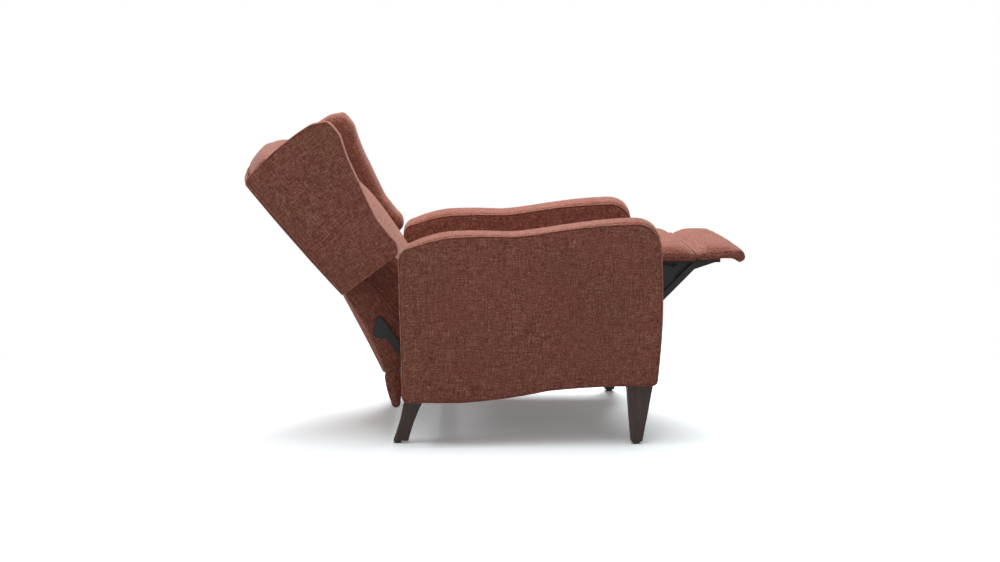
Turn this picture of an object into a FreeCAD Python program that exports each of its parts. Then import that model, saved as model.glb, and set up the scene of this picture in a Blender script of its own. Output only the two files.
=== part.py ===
import FreeCAD, Part
import math
import os
from FreeCAD import Vector

os.makedirs("parts", exist_ok=True)

# High leg recliner, fully reclined with its footrest open, as it is exported.
# Millimetres. +X is the way the sitter faces, +Y the sitter's left, +Z up.
# The origin is on the floor, under the middle of the reclined chair.
# Sizes are grouped by the piece that they belong to. A table whose name ends
# in share or shares holds shares of the sizes named beside it.

END = "end"
MID = "mid"

# Arms
width = 740.0
arm_thickness = 120.0
arm_rear_x = -271.0
arm_length = 748.0
arm_low_z = 138.0
arm_height = 515.0
arm_crown = 13.0
arm_front_crown = 5.0
arm_skin = 14.0
front_rise_share = 0.975
rear_rise_share = 0.88
front_foot_share = 0.085
arm_outline_shares = (
    (0.009, 0.02, END, 0.0, 0.0),
    (0.0, 0.79, END, 0.0, 0.0),
    (0.009, 0.840, MID, 0.1, 0.0),
    (0.047, 0.865, END, 0.45, 0.0),
    (0.111, 0.895, MID, 0.8, 0.0),
    (0.190, 0.919, END, 0.9, 0.0),
    (0.300, 0.925, MID, 0.85, 0.0),
    (0.430, 0.922, END, 0.7, 0.0),
    (0.500, 0.932, MID, 0.65, 0.0),
    (0.558, 0.944, END, 0.6, 0.0),
    (0.710, 0.973, MID, 0.65, 0.0),
    (0.888, 0.988, END, 1.0, 0.2),
    (0.960, 0.957, MID, 1.0, 0.8),
    (0.990, 0.868, END, 0.5, 1.0),
    (1.0, 0.571, MID, 0.0, 1.0),
    (0.990, 0.175, END, 0.0, 1.0),
    (0.984, 0.085, END, 0.0, 0.0),
    (0.866, 0.085, END, 0.0, 0.0),
    (0.710, 0.080, MID, 0.0, 0.0),
    (0.560, 0.062, END, 0.0, 0.0),
    (0.401, 0.023, MID, 0.0, 0.0),
    (0.232, 0.0, END, 0.0, 0.0),
    (0.016, 0.002, END, 0.0, 0.0),
)

# Wooden frame inside each arm
frame_member = 28.0
frame_floor = 4.225
frame_top_drop = 52.0

# Legs
leg_square = 50.0
front_leg_inset = 43.0
front_leg_setback = 55.5
front_leg_rake = 6.5
front_leg_top_length = 75.0
front_leg_foot_length = 32.0
front_leg_foot_width = 30.0
rear_leg_inset = 82.0
rear_leg_top_x = -232.0
rear_leg_foot_x = -273.0
rear_leg_top_length = 59.0
rear_leg_foot_length = 44.0
rear_leg_foot_width = 30.0
rear_leg_bow = 9.0
glide_radius = 11.0
glide_height = 8.0
glide_back_x = 10.0
leg_bolt_radius = 4.0
leg_bolt_depth = 22.0
leg_bolt_bite = 20.0

# Stretchers between the arms
stretcher_depth = 24.0
stretcher_height = 50.0
stretcher_low_z = 150.0
front_stretcher_x = 252.0
rear_stretcher_x = -160.0

# Steel plates of the mechanism, in layers inward from the arm
plate = 4.0
layer_gap = 3.0
link_width = 20.0
pivot_radius = 4.0
running_gap = 0.05
head_radius = 7.0
head_height = 1.6
clear_of_link = 0.4

# Recline mechanism
swing_length = 60.0
swing_lean_deg = 12.0
base_pivot_z = 205.0
front_swing_x = 200.0
rear_swing_x = -20.0
back_hinge_x = -52.0
back_hinge_z = 281.0
back_arm_top_x = -336.0
back_arm_top_z = 354.0
back_arm_elbow_x = -262.0
back_arm_elbow_z = 250.0
back_arm_width = 24.0
back_plate_radius = 23.0
back_plate_set = 6.0
back_plate_drop = 31.0
recline_pin_reach = 80.0
recline_base_x = -224.7
recline_base_z = 228.4
base_rail_low_z = 186.0
base_rail_height = 58.0
base_rail_rear_x = -246.0
base_rail_front_x = 232.0
screw_radius = 3.0
screw_bite = 12.0
screw_drop = 10.0
screw_shares = (0.30, 0.62, 0.84)

# Seat
seat_plate_low_z = 240.0
seat_plate_high_z = 326.0
seat_plate_front_x = 370.0
seat_plate_rear_x = -70.0
plate_edge = 18.0
plate_rear_drop = 18.0
seat_rail_low_z = 330.0
seat_rail_height = 66.0
seat_rail_thickness = 30.0
seat_frame_clear = 4.0
seat_frame_rear_x = -150.0
seat_frame_front_x = 428.0
seat_bracket_length = 46.0
seat_bracket_front_x = 120.0
seat_bracket_rear_x = -34.0
webbing_width = 48.0
webbing_thickness = 3.0
webbing_count = 5
seat_side_gap = 8.0
seat_rear_x = -186.0
seat_front_x = 469.0
seat_high_z = 500.0
seat_crown = 10.0
seat_outline_shares = (
    (0.0, 0.0, END, 0.0),
    (0.0, 0.20, END, 0.3),
    (0.06, 0.44, MID, 0.3),
    (0.16, 0.66, END, 0.5),
    (0.40, 0.88, MID, 1.0),
    (0.66, 0.94, END, 1.0),
    (0.83, 0.97, MID, 1.0),
    (0.955, 0.90, END, 0.3),
    (1.0, 0.76, MID, 0.0),
    (0.978, 0.62, END, 0.0),
    (0.962, 0.56, END, 0.0),
    (0.950, 0.28, MID, 0.0),
    (0.952, 0.0, END, 0.0),
)

# Footrest mechanism, as it lies open
drive_x = 350.0
drive_z = 300.0
drive_length = 124.6
drive_joint = 85.0
drive_open_deg = 32.5
drive_width = 18.0
tube_radius = 11.0
control_x = 318.4
control_z = 253.2
long_extension = 55.0
web_height = 40.0
web_shares = ((0.44, 0.0), (0.58, 1.0), (0.93, 0.9), (1.0, 0.2), (0.86, -0.52), (0.52, -0.52))
bracket_pivot_x = 540.0
bracket_pivot_z = 500.0
bracket_second_x = 589.0
bracket_second_z = 504.0
bracket_tip_x = 662.0
bracket_tail_x = 500.0
bracket_tail_drop = 14.0
bracket_depth = 58.0
bracket_flange = 22.0
bracket_flange_thickness = 3.0

# Footrest panel, as it lies open
board_low_z = 520.0
board_thickness = 12.0
board_rear_x = 475.0
board_front_x = 669.0
board_side_gap = 14.0
pad_side_gap = 5.0
pad_rear_x = 470.0
pad_seam_x = 597.0
pad_front_x = 744.0
pad_height = 39.0
pad_side_drop = 5.0
pad_gap = 0.5
nose_drop = 12.0
nose_radius = 19.0
pad_wrap = 7.0
foot_wrap_rise = 4.0

# Back, in its own frame: n runs to the front, s up along the rake
rake_deg = 40.0
cushion_side_gap = 10.0
step_s = 612.0
cushion_low_s = 470.0
cushion_rear_n = 30.0
cushion_side_n = 128.0
cushion_crown = 31.0
cushion_soft = 26.0
cushion_top_s = 1054.0
arch_rise = 38.0
cushion_wrap_n = -36.0
cushion_cap_s = 1040.0
wing_inset = 15.0
wing_thickness = 70.0
wing_rear_n = -38.0
wing_low_s = 604.0
wing_depth = 285.0
wing_height = 450.0
wing_roll = 3.0
wing_outline_shares = (
    (0.0, 0.038, END, 0.0),
    (0.0, 0.950, END, 0.0),
    (0.006, 0.962, MID, 0.0),
    (0.030, 0.970, END, 0.2),
    (0.420, 0.990, MID, 0.2),
    (0.860, 0.969, END, 0.4),
    (0.935, 0.943, END, 0.6),
    (0.996, 0.920, END, 1.0),
    (1.003, 0.860, MID, 1.0),
    (0.993, 0.800, END, 1.0),
    (0.926, 0.703, MID, 1.0),
    (0.840, 0.518, END, 1.0),
    (0.776, 0.373, MID, 1.0),
    (0.733, 0.265, END, 0.8),
    (0.728, 0.185, MID, 0.6),
    (0.724, 0.120, END, 0.5),
    (0.706, 0.046, MID, 0.1),
    (0.640, 0.014, END, 0.0),
)

# Rear cover, lower side panels and the padded bottom rail
cover_thickness = 12.0
cover_mid_thickness = 20.0
cover_top_rise = 22.0
cover_side_thickness = 6.0
cover_bulge = 17.0
cover_low_s = 622.0
cover_share = 0.955
lower_cover_edge = 2.0
lower_cover_shoulder = 18.0
lower_cover_bulge = 26.0
lower_cover_round = 28.0
lower_edge_share = 0.6
panel_thickness = 12.0
lower_rear_n = -54.0
lower_top_s = 612.0
lower_depth = 63.0
lower_height = 260.0
lower_front_n = 30.0
lower_toe_n = -75.0
lower_toe_drop = 12.0
rear_bow_share = 0.30
toe_share = 0.74
rail_cover_height = 100.0
rail_cover_shares = (
    (0.0, 1.0, END),
    (-0.25, 0.56, MID),
    (-0.385, 0.23, END),
    (-0.365, 0.02, MID),
    (-0.23, 0.04, END),
    (0.17, 0.44, END),
    (0.43, 0.88, END),
)

# Wooden frame of the back
post_thickness = 36.0
post_rear_n = -20.0
post_top_s = 1034.0
post_knee_s = 480.0
back_rail_height = 60.0

back_bolt_radius = 4.0
back_bolt_bite = 20.0
back_bolt_shares = (0.50, 0.95)
overrun = 5.0
soft_gap = 0.3

# Places worked out from the sizes above
arm_outer = width / 2
arm_inner = arm_outer - arm_thickness
arm_mid = arm_outer - arm_thickness / 2
rail_in = arm_inner - plate
swing_out = rail_in - layer_gap
swing_in = swing_out - plate
seat_plate_out = swing_in - layer_gap
seat_plate_in = seat_plate_out - plate
drive_out = seat_plate_in - layer_gap
drive_in = drive_out - plate
front_out = drive_in - layer_gap
front_in = front_out - plate
long_out = front_in - layer_gap
long_in = long_out - plate
bracket_out = long_in - layer_gap
bracket_in = bracket_out - plate

front_leg_y = arm_outer - front_leg_inset
rear_leg_y = arm_outer - rear_leg_inset
front_leg_top_x = arm_rear_x + arm_length - front_leg_setback
front_leg_foot_x = front_leg_top_x - front_leg_rake
frame_low_z = arm_low_z + arm_height * front_foot_share + frame_floor
seat_frame_half = bracket_in - seat_frame_clear
seat_half = arm_inner - seat_side_gap
board_half = arm_inner - board_side_gap
pad_half = arm_inner - pad_side_gap
lower_half = arm_inner - cushion_side_gap
wing_outer = arm_outer - wing_inset
post_outer = seat_plate_out - panel_thickness

seat_low_z = seat_rail_low_z + seat_rail_height + webbing_thickness + soft_gap
back_half = wing_outer - wing_thickness - soft_gap
post_front_n = cushion_rear_n - soft_gap

swing_dx = swing_length * math.sin(math.radians(swing_lean_deg))
swing_dz = swing_length * math.cos(math.radians(swing_lean_deg))
seat_pivot_z = base_pivot_z + swing_dz
front_carry_x = front_swing_x + swing_dx
rear_carry_x = rear_swing_x + swing_dx

drive_cos = math.cos(math.radians(drive_open_deg))
drive_sin = math.sin(math.radians(drive_open_deg))
joint_x = drive_x + drive_joint * drive_cos
joint_z = drive_z + drive_joint * drive_sin
end_x = drive_x + drive_length * drive_cos
end_z = drive_z + drive_length * drive_sin
long_length = math.hypot(bracket_pivot_x - joint_x, bracket_pivot_z - joint_z)
long_cos = (bracket_pivot_x - joint_x) / long_length
long_sin = (bracket_pivot_z - joint_z) / long_length
tail_x = joint_x - long_extension * long_cos
tail_z = joint_z - long_extension * long_sin

rake_cos = math.cos(math.radians(rake_deg))
rake_sin = math.sin(math.radians(rake_deg))

nodes = {}


def closed_wire(points, y):
    """Closed outline at one y. A MID point bends the run between its neighbours into an arc."""
    spots = [Vector(point[0], y, point[1]) for point in points]
    kinds = [point[2] for point in points]
    count = len(points)
    edges = []
    start = spots[0]
    index = 1
    while index <= count:
        here = spots[index % count]
        if kinds[index % count] == MID:
            finish = spots[(index + 1) % count]
            edges.append(Part.Arc(start, here, finish).toShape())
            index += 2
        else:
            finish = here
            edges.append(Part.LineSegment(start, finish).toShape())
            index += 1
        start = finish
    return Part.Wire(edges)


def prism(points, y_from, y_to):
    """Flat piece with one outline, from one y to another."""
    face = Part.Face(closed_wire(points, y_from))
    return face.extrude(Vector(0, y_to - y_from, 0))


def polygon(corners):
    """The same as an outline of straight runs."""
    return [(x, z, END) for x, z in corners]


def loft(sections):
    """Smooth solid through outlines at rising y."""
    wires = [closed_wire(points, y) for points, y in sections]
    return Part.makeLoft(wires, True, False)


def box(x_from, x_to, y_from, y_to, z_from, z_to):
    corner = Vector(x_from, y_from, z_from)
    return Part.makeBox(x_to - x_from, y_to - y_from, z_to - z_from, corner)


def rod(x, z, radius, y_from, y_to):
    return Part.makeCylinder(radius, y_to - y_from, Vector(x, y_from, z), Vector(0, 1, 0))


def hole(x, z, radius):
    """Cutter across the whole chair."""
    return rod(x, z, radius, -arm_outer, arm_outer)


def bar(x1, z1, x2, z2, bar_width, y_from, y_to):
    """Flat link with round ends at two pivots."""
    length = math.hypot(x2 - x1, z2 - z1)
    half = bar_width / 2
    across_x = -(z2 - z1) / length * half
    across_z = (x2 - x1) / length * half
    corners = [
        (x1 + across_x, z1 + across_z),
        (x1 - across_x, z1 - across_z),
        (x2 - across_x, z2 - across_z),
        (x2 + across_x, z2 + across_z),
    ]
    strip = prism(polygon(corners), y_from, y_to)
    first = rod(x1, z1, half, y_from, y_to)
    second = rod(x2, z2, half, y_from, y_to)
    return strip.fuse([first, second]).removeSplitter()


def stub(x, z, y_tip, y_seat):
    """Pin with a head on the inner side only; the outer end is fixed in its plate."""
    pin = rod(x, z, pivot_radius, y_tip, y_seat)
    head = rod(x, z, head_radius, y_tip - head_height, y_tip)
    return pin.fuse(head).removeSplitter()


def mirrored(shape):
    """The same piece on the other side of the chair."""
    return shape.mirror(Vector(0, 0, 0), Vector(0, 1, 0))


def pair(name, shape):
    """Left piece as drawn, at positive y, and its mirror image on the right."""
    nodes[name + "_left"] = shape
    nodes[name + "_right"] = mirrored(shape)


def both_sides(name, solids):
    """One node for like pieces of both sides."""
    nodes[name] = Part.makeCompound(solids + [mirrored(solid) for solid in solids])


def reclined(shape):
    """From the back's own frame to the chair's."""
    turned = shape.copy()
    turned.rotate(Vector(0, 0, 0), Vector(0, 1, 0), -rake_deg)
    return turned


def along_back(x, z):
    """A point of the chair in the back's own frame."""
    return x * rake_cos + z * rake_sin, z * rake_cos - x * rake_sin


# Arms


def arm_points(crown, front_crown):
    points = []
    for x_share, z_share, kind, rise_share, front_share in arm_outline_shares:
        x = arm_rear_x + x_share * arm_length + front_share * front_crown
        z = arm_low_z + z_share * arm_height + rise_share * crown
        points.append((x, z, kind))
    return points


def arm_cavity_points():
    """Room inside the arm shell, one skin in from the outline."""
    rear = arm_rear_x + arm_skin
    front = arm_rear_x + arm_length * front_rise_share - arm_skin
    top_rear = arm_low_z + arm_height * rear_rise_share - frame_top_drop
    top_front = arm_low_z + arm_height - frame_top_drop
    return polygon([
        (rear, frame_low_z),
        (front, frame_low_z),
        (front, top_front),
        (rear, top_rear),
    ])


def arm_shell():
    flat = arm_points(0, 0)
    middle = arm_points(arm_crown, arm_front_crown)
    body = loft([(flat, arm_inner), (middle, arm_mid), (flat, arm_outer)])
    room = prism(arm_cavity_points(), arm_inner + arm_skin, arm_outer - arm_skin)
    return body.cut(room)


def arm_frame(bolts):
    """Top and bottom rails and the two posts between them, all inside the shell."""
    corners = [(x, z) for x, z, _ in arm_cavity_points()]
    rear, low = corners[0]
    front, top_front = corners[2]
    top_rear = corners[3][1]
    y_from = arm_inner + arm_skin
    y_to = arm_outer - arm_skin
    bottom = box(rear, front, y_from, y_to, low, low + frame_member).cut(bolts)
    slope = (top_front - top_rear) / (front - rear)
    top = prism(polygon([
        (rear, top_rear - frame_member),
        (front, top_front - frame_member),
        (front, top_front),
        (rear, top_rear),
    ]), y_from, y_to)
    posts = []
    for start in (rear, front - frame_member):
        finish = start + frame_member
        under_start = top_rear - frame_member + slope * (start - rear)
        under_finish = top_rear - frame_member + slope * (finish - rear)
        posts.append(prism(polygon([
            (start, low + frame_member),
            (finish, low + frame_member),
            (finish, under_finish),
            (start, under_start),
        ]), y_from, y_to))
    return Part.makeCompound([bottom, top] + posts)


# Legs


def rectangle_wire(x, y, z, length, depth):
    half_x = length / 2
    half_y = depth / 2
    corners = [
        Vector(x - half_x, y - half_y, z),
        Vector(x + half_x, y - half_y, z),
        Vector(x + half_x, y + half_y, z),
        Vector(x - half_x, y + half_y, z),
    ]
    return Part.makePolygon(corners + corners[:1])


def front_leg():
    """Tapered square leg, set flat under the front of the arm."""
    top_z = arm_low_z + arm_height * front_foot_share
    top = rectangle_wire(front_leg_top_x, front_leg_y, top_z, front_leg_top_length, leg_square)
    foot = rectangle_wire(front_leg_foot_x, front_leg_y, glide_height,
                          front_leg_foot_length, front_leg_foot_width)
    return Part.makeLoft([foot, top], True, True)


def rear_leg():
    """Raked leg with a bowed rear edge, cut to its taper from both sides."""
    top_z = arm_low_z
    mid_z = (top_z + glide_height) / 2
    top_rear = rear_leg_top_x - rear_leg_top_length / 2
    top_front = rear_leg_top_x + rear_leg_top_length / 2
    foot_rear = rear_leg_foot_x - rear_leg_foot_length / 2
    foot_front = rear_leg_foot_x + rear_leg_foot_length / 2
    outline = [
        (foot_rear, glide_height, END),
        (foot_front, glide_height, END),
        ((foot_front + top_front) / 2 - rear_leg_bow / 2, mid_z, MID),
        (top_front, top_z, END),
        (top_rear, top_z, END),
        ((foot_rear + top_rear) / 2 + rear_leg_bow / 2, mid_z, MID),
    ]
    half_top = leg_square / 2
    half_foot = rear_leg_foot_width / 2
    slab = prism(outline, rear_leg_y - half_top, rear_leg_y + half_top)
    taper = [
        Vector(foot_rear - overrun, rear_leg_y - half_foot, glide_height),
        Vector(foot_rear - overrun, rear_leg_y + half_foot, glide_height),
        Vector(foot_rear - overrun, rear_leg_y + half_top, top_z),
        Vector(foot_rear - overrun, rear_leg_y - half_top, top_z),
    ]
    keep = Part.Face(Part.makePolygon(taper + taper[:1]))
    keep = keep.extrude(Vector(top_front - foot_rear + 2 * overrun, 0, 0))
    return slab.common(keep)


def glide(x, y):
    return Part.makeCylinder(glide_radius, glide_height, Vector(x, y, 0))


def leg_bolt(x, y, top_z):
    """Bolt from inside the leg up into the arm's bottom rail."""
    length = frame_low_z + leg_bolt_bite - top_z + leg_bolt_depth
    return Part.makeCylinder(leg_bolt_radius, length, Vector(x, y, top_z - leg_bolt_depth))


def make_base():
    front_top = arm_low_z + arm_height * front_foot_share
    bolts = [
        leg_bolt(front_leg_top_x, front_leg_y, front_top),
        leg_bolt(rear_leg_top_x, rear_leg_y, arm_low_z),
    ]
    screw_holes = [hole(x, screw_z(), screw_radius) for x in screw_places()]
    reach = box(arm_rear_x, arm_rear_x + arm_length, arm_inner, arm_inner + screw_bite,
                base_rail_low_z, base_rail_low_z + base_rail_height)
    shell = arm_shell().cut([cutter.common(reach) for cutter in screw_holes])
    pair("arm", shell.cut(bolts))
    pair("arm_frame", arm_frame(bolts))
    pair("front_leg", front_leg().cut(bolts[0]))
    pair("rear_leg", rear_leg().cut(bolts[1]))
    both_sides("leg_bolts", bolts)
    both_sides("leg_glides", [
        glide(front_leg_foot_x, front_leg_y),
        glide(rear_leg_foot_x - glide_back_x, rear_leg_y),
    ])
    bars = []
    for x in (front_stretcher_x, rear_stretcher_x):
        bars.append(box(x - stretcher_depth / 2, x + stretcher_depth / 2, -arm_inner, arm_inner,
                        stretcher_low_z, stretcher_low_z + stretcher_height))
    nodes["stretchers"] = Part.makeCompound(bars)


# Recline mechanism


def base_rail():
    """Steel rail along the arm's inner face, notched over the stretchers."""
    rail = box(base_rail_rear_x, base_rail_front_x, rail_in, arm_inner,
               base_rail_low_z, base_rail_low_z + base_rail_height)
    over = stretcher_low_z + stretcher_height
    notch = box(rear_stretcher_x - stretcher_depth / 2, rear_stretcher_x + stretcher_depth / 2,
                rail_in - overrun, arm_inner + overrun, base_rail_low_z - overrun, over)
    rail = rail.cut(notch)
    for x, z in base_pivots():
        rail = rail.cut(hole(x, z, pivot_radius))
    for x in screw_places():
        rail = rail.cut(hole(x, screw_z(), screw_radius))
    return rail


def base_pivots():
    return [
        (front_swing_x, base_pivot_z),
        (rear_swing_x, base_pivot_z),
        (recline_base_x, recline_base_z),
    ]


def screw_places():
    span = base_rail_front_x - base_rail_rear_x
    return [base_rail_rear_x + share * span for share in screw_shares]


def screw_z():
    return base_rail_low_z + base_rail_height - screw_drop


def base_screw(x):
    shank = rod(x, screw_z(), screw_radius, rail_in, arm_inner + screw_bite)
    head = rod(x, screw_z(), head_radius - head_height, rail_in - head_height, rail_in)
    return shank.fuse(head).removeSplitter()


def swing_link(x):
    link = bar(x, base_pivot_z, x + swing_dx, seat_pivot_z, link_width, swing_in, swing_out)
    link = link.cut(hole(x, base_pivot_z, pivot_radius + running_gap))
    return link.cut(hole(x + swing_dx, seat_pivot_z, pivot_radius + running_gap))


def back_arm():
    """Bent steel arm: from the seat hinge back to an elbow, then up behind the side panel."""
    lower = bar(back_hinge_x, back_hinge_z, back_arm_elbow_x, back_arm_elbow_z,
                back_arm_width, swing_in, swing_out)
    upper = bar(back_arm_elbow_x, back_arm_elbow_z, back_arm_top_x, back_arm_top_z,
                back_arm_width, swing_in, swing_out)
    disc = rod(back_arm_top_x + back_plate_set, back_arm_top_z - back_plate_drop,
               back_plate_radius, seat_plate_out + clear_of_link, swing_in)
    arm = lower.fuse([upper, disc]).removeSplitter()
    arm = arm.cut(hole(back_hinge_x, back_hinge_z, pivot_radius + running_gap))
    for x, z in back_bolts():
        arm = arm.cut(hole(x, z, back_bolt_radius))
    return arm


def back_bolts():
    """Two bolts along the upper run of the arm."""
    places = []
    for share in back_bolt_shares:
        x = back_arm_elbow_x + share * (back_arm_top_x - back_arm_elbow_x)
        z = back_arm_elbow_z + share * (back_arm_top_z - back_arm_elbow_z)
        places.append((x, z))
    return places


def back_bolt(x, z):
    shank = rod(x, z, back_bolt_radius, post_outer - back_bolt_bite, swing_out)
    head = rod(x, z, head_radius, swing_out, swing_out + head_height)
    return shank.fuse(head).removeSplitter()


def recline_pin_place():
    """Where the recline link meets the back arm."""
    length = math.hypot(back_arm_elbow_x - back_hinge_x, back_arm_elbow_z - back_hinge_z)
    share = recline_pin_reach / length
    x = back_hinge_x + share * (back_arm_elbow_x - back_hinge_x)
    z = back_hinge_z + share * (back_arm_elbow_z - back_hinge_z)
    return x, z


def recline_link():
    x, z = recline_pin_place()
    link = bar(recline_base_x, recline_base_z, x, z, link_width, seat_plate_in, seat_plate_out)
    boss = rod(x, z, pivot_radius, seat_plate_out, swing_in - clear_of_link)
    link = link.fuse(boss).removeSplitter()
    return link.cut(hole(recline_base_x, recline_base_z, pivot_radius + running_gap))


def make_recline():
    pair("base_rail", base_rail())
    both_sides("base_rail_screws", [base_screw(x) for x in screw_places()])
    both_sides("base_pivot_pins", [
        stub(front_swing_x, base_pivot_z, swing_in - clear_of_link, arm_inner),
        stub(rear_swing_x, base_pivot_z, swing_in - clear_of_link, arm_inner),
        stub(recline_base_x, recline_base_z, seat_plate_in - clear_of_link, arm_inner),
    ])
    pair("front_swing_link", swing_link(front_swing_x))
    pair("rear_swing_link", swing_link(rear_swing_x))
    pair("recline_link", recline_link())
    pair("back_arm", back_arm())


# Seat


def seat_plate_outline():
    return [
        (seat_plate_rear_x, seat_plate_high_z - plate_rear_drop, END),
        (seat_plate_rear_x, back_hinge_z - plate_edge, END),
        (rear_carry_x - plate_edge, seat_plate_low_z, END),
        (control_x + plate_edge, seat_plate_low_z - plate_edge / 2, END),
        (seat_plate_front_x, drive_z - plate_edge, END),
        (seat_plate_front_x, drive_z + plate_edge, END),
        (seat_plate_front_x - plate_edge, seat_plate_high_z, END),
        (seat_plate_rear_x + plate_edge, seat_plate_high_z, END),
    ]


def seat_pivots():
    """Pins fixed in the seat plate that reach outward to the swing links and the back arm."""
    return [
        (front_carry_x, seat_pivot_z),
        (rear_carry_x, seat_pivot_z),
        (back_hinge_x, back_hinge_z),
    ]


def seat_plate():
    shape = prism(seat_plate_outline(), seat_plate_in, seat_plate_out)
    for x, z in seat_pivots():
        shape = shape.cut(hole(x, z, pivot_radius))
    shape = shape.cut(hole(control_x, control_z, pivot_radius))
    return shape.cut(hole(drive_x, drive_z, pivot_radius + running_gap))


def outward_pin(x, z):
    """Pin fixed in the seat plate, with its head outside the link that turns on it."""
    pin = rod(x, z, pivot_radius, seat_plate_in, swing_out + clear_of_link)
    head = rod(x, z, head_radius, swing_out + clear_of_link, swing_out + clear_of_link + head_height)
    return pin.fuse(head).removeSplitter()


def inward_pin(x, z):
    """Pin fixed in the seat plate, with its head inside the link that turns on it."""
    tip = drive_in - clear_of_link
    pin = rod(x, z, pivot_radius, tip, seat_plate_out)
    head = rod(x, z, head_radius, tip - head_height, tip)
    return pin.fuse(head).removeSplitter()


def seat_bracket(x):
    """Steel angle from the side plate to the underside of the wooden rail."""
    inner = seat_frame_half - seat_rail_thickness
    upright = box(x, x + seat_bracket_length, seat_plate_in - plate, seat_plate_in,
                  seat_pivot_z + head_radius, seat_rail_low_z)
    flange = box(x, x + seat_bracket_length, inner, seat_plate_in - plate,
                 seat_rail_low_z - plate, seat_rail_low_z)
    return upright.fuse(flange).removeSplitter()


def seat_cushion():
    side = seat_points(0)
    middle = seat_points(seat_crown)
    return loft([(side, -seat_half), (middle, 0), (side, seat_half)])


def seat_points(crown):
    points = []
    for x_share, z_share, kind, rise_share in seat_outline_shares:
        x = seat_rear_x + x_share * (seat_front_x - seat_rear_x)
        z = seat_low_z + z_share * (seat_high_z - seat_low_z) + rise_share * crown
        points.append((x, z, kind))
    return points


def webbing():
    """Straps across the seat frame, side by side under the cushion."""
    top = seat_rail_low_z + seat_rail_height
    start = seat_frame_rear_x + seat_rail_thickness
    span = seat_frame_front_x - seat_rail_thickness - start
    pitch = span / webbing_count
    straps = []
    for index in range(webbing_count):
        x = start + pitch * index + (pitch - webbing_width) / 2
        straps.append(box(x, x + webbing_width, -seat_frame_half, seat_frame_half,
                          top, top + webbing_thickness))
    return straps


def make_seat():
    top = seat_rail_low_z + seat_rail_height
    inner = seat_frame_half - seat_rail_thickness
    pair("seat_plate", seat_plate())
    pins = [outward_pin(x, z) for x, z in seat_pivots()]
    both_sides("seat_pivot_pins", pins + [inward_pin(control_x, control_z)])
    both_sides("seat_mount_brackets", [
        seat_bracket(seat_bracket_front_x),
        seat_bracket(seat_bracket_rear_x),
    ])
    pair("seat_side_rail", box(seat_frame_rear_x, seat_frame_front_x, inner, seat_frame_half,
                               seat_rail_low_z, top))
    cross = []
    for x in (seat_frame_rear_x, seat_frame_front_x - seat_rail_thickness):
        cross.append(box(x, x + seat_rail_thickness, -inner, inner, seat_rail_low_z, top))
    nodes["seat_cross_rails"] = Part.makeCompound(cross)
    nodes["seat_webbing"] = Part.makeCompound(webbing())
    nodes["seat_cushion"] = seat_cushion()


# Footrest


def drive_link():
    link = bar(drive_x, drive_z, end_x, end_z, drive_width, drive_in, drive_out)
    for x, z in ((joint_x, joint_z), (end_x, end_z)):
        link = link.cut(hole(x, z, pivot_radius))
    pivot = rod(drive_x, drive_z, pivot_radius, drive_out, seat_plate_out)
    return link.fuse(pivot).removeSplitter()


def control_link():
    """Link on the seat plate that steers the tail of the long link."""
    link = bar(control_x, control_z, tail_x, tail_z, drive_width, drive_in, drive_out)
    return link.cut(hole(control_x, control_z, pivot_radius + running_gap))


def long_link():
    """Bar with a wide stamped web along its outer half."""
    link = bar(tail_x, tail_z, bracket_pivot_x, bracket_pivot_z, drive_width, long_in, long_out)
    web = []
    for along_share, rise_share in web_shares:
        along = along_share * long_length
        rise = rise_share * web_height
        web.append((joint_x + along * long_cos - rise * long_sin,
                    joint_z + along * long_sin + rise * long_cos))
    link = link.fuse(prism(polygon(web), long_in, long_out)).removeSplitter()
    link = link.cut(hole(joint_x, joint_z, pivot_radius + running_gap))
    link = link.cut(hole(bracket_pivot_x, bracket_pivot_z, pivot_radius + running_gap))
    boss = rod(tail_x, tail_z, pivot_radius, long_out, drive_in - clear_of_link)
    return link.fuse(boss).removeSplitter()


def front_link():
    link = bar(end_x, end_z, bracket_second_x, bracket_second_z, drive_width,
               front_in, front_out)
    link = link.cut(hole(end_x, end_z, pivot_radius + running_gap))
    boss = rod(bracket_second_x, bracket_second_z, pivot_radius,
               bracket_out + clear_of_link, front_in)
    return link.fuse(boss).removeSplitter()


def link_rivet(x, z, link_face):
    """Rivet fixed in the drive link, with a head inside the link that turns on it."""
    tip = link_face - clear_of_link
    pin = rod(x, z, pivot_radius, tip, drive_out)
    head = rod(x, z, head_radius, tip - head_height, tip)
    return pin.fuse(head).removeSplitter()


def bracket_rivet():
    """Rivet fixed in the bracket, with a head outside the long link."""
    tip = long_out + clear_of_link
    pin = rod(bracket_pivot_x, bracket_pivot_z, pivot_radius, bracket_in, tip)
    head = rod(bracket_pivot_x, bracket_pivot_z, head_radius, tip, tip + head_height)
    return pin.fuse(head).removeSplitter()


def footrest_bracket():
    """Plate under the board, deepest between its two pivots, with a flange to screw through."""
    top = board_low_z
    edge = head_radius + head_height
    wedge = prism([
        (bracket_tail_x, top, END),
        (bracket_tail_x, top - bracket_tail_drop, END),
        (bracket_pivot_x - edge * 2, top - bracket_tail_drop, END),
        (bracket_pivot_x - edge, bracket_pivot_z, END),
        (bracket_pivot_x - edge, top - bracket_depth + edge / 2, END),
        (bracket_pivot_x + edge, top - bracket_depth, END),
        (bracket_second_x + edge, bracket_second_z - edge, END),
        (bracket_tip_x, top - bracket_flange_thickness, END),
        (bracket_tip_x, top, END),
    ], bracket_in, bracket_out)
    wedge = wedge.cut(hole(bracket_pivot_x, bracket_pivot_z, pivot_radius))
    flange = box(bracket_pivot_x - edge, bracket_tip_x, bracket_in - bracket_flange, bracket_in,
                 top - bracket_flange_thickness, top)
    return wedge.fuse(flange).removeSplitter()


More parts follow.
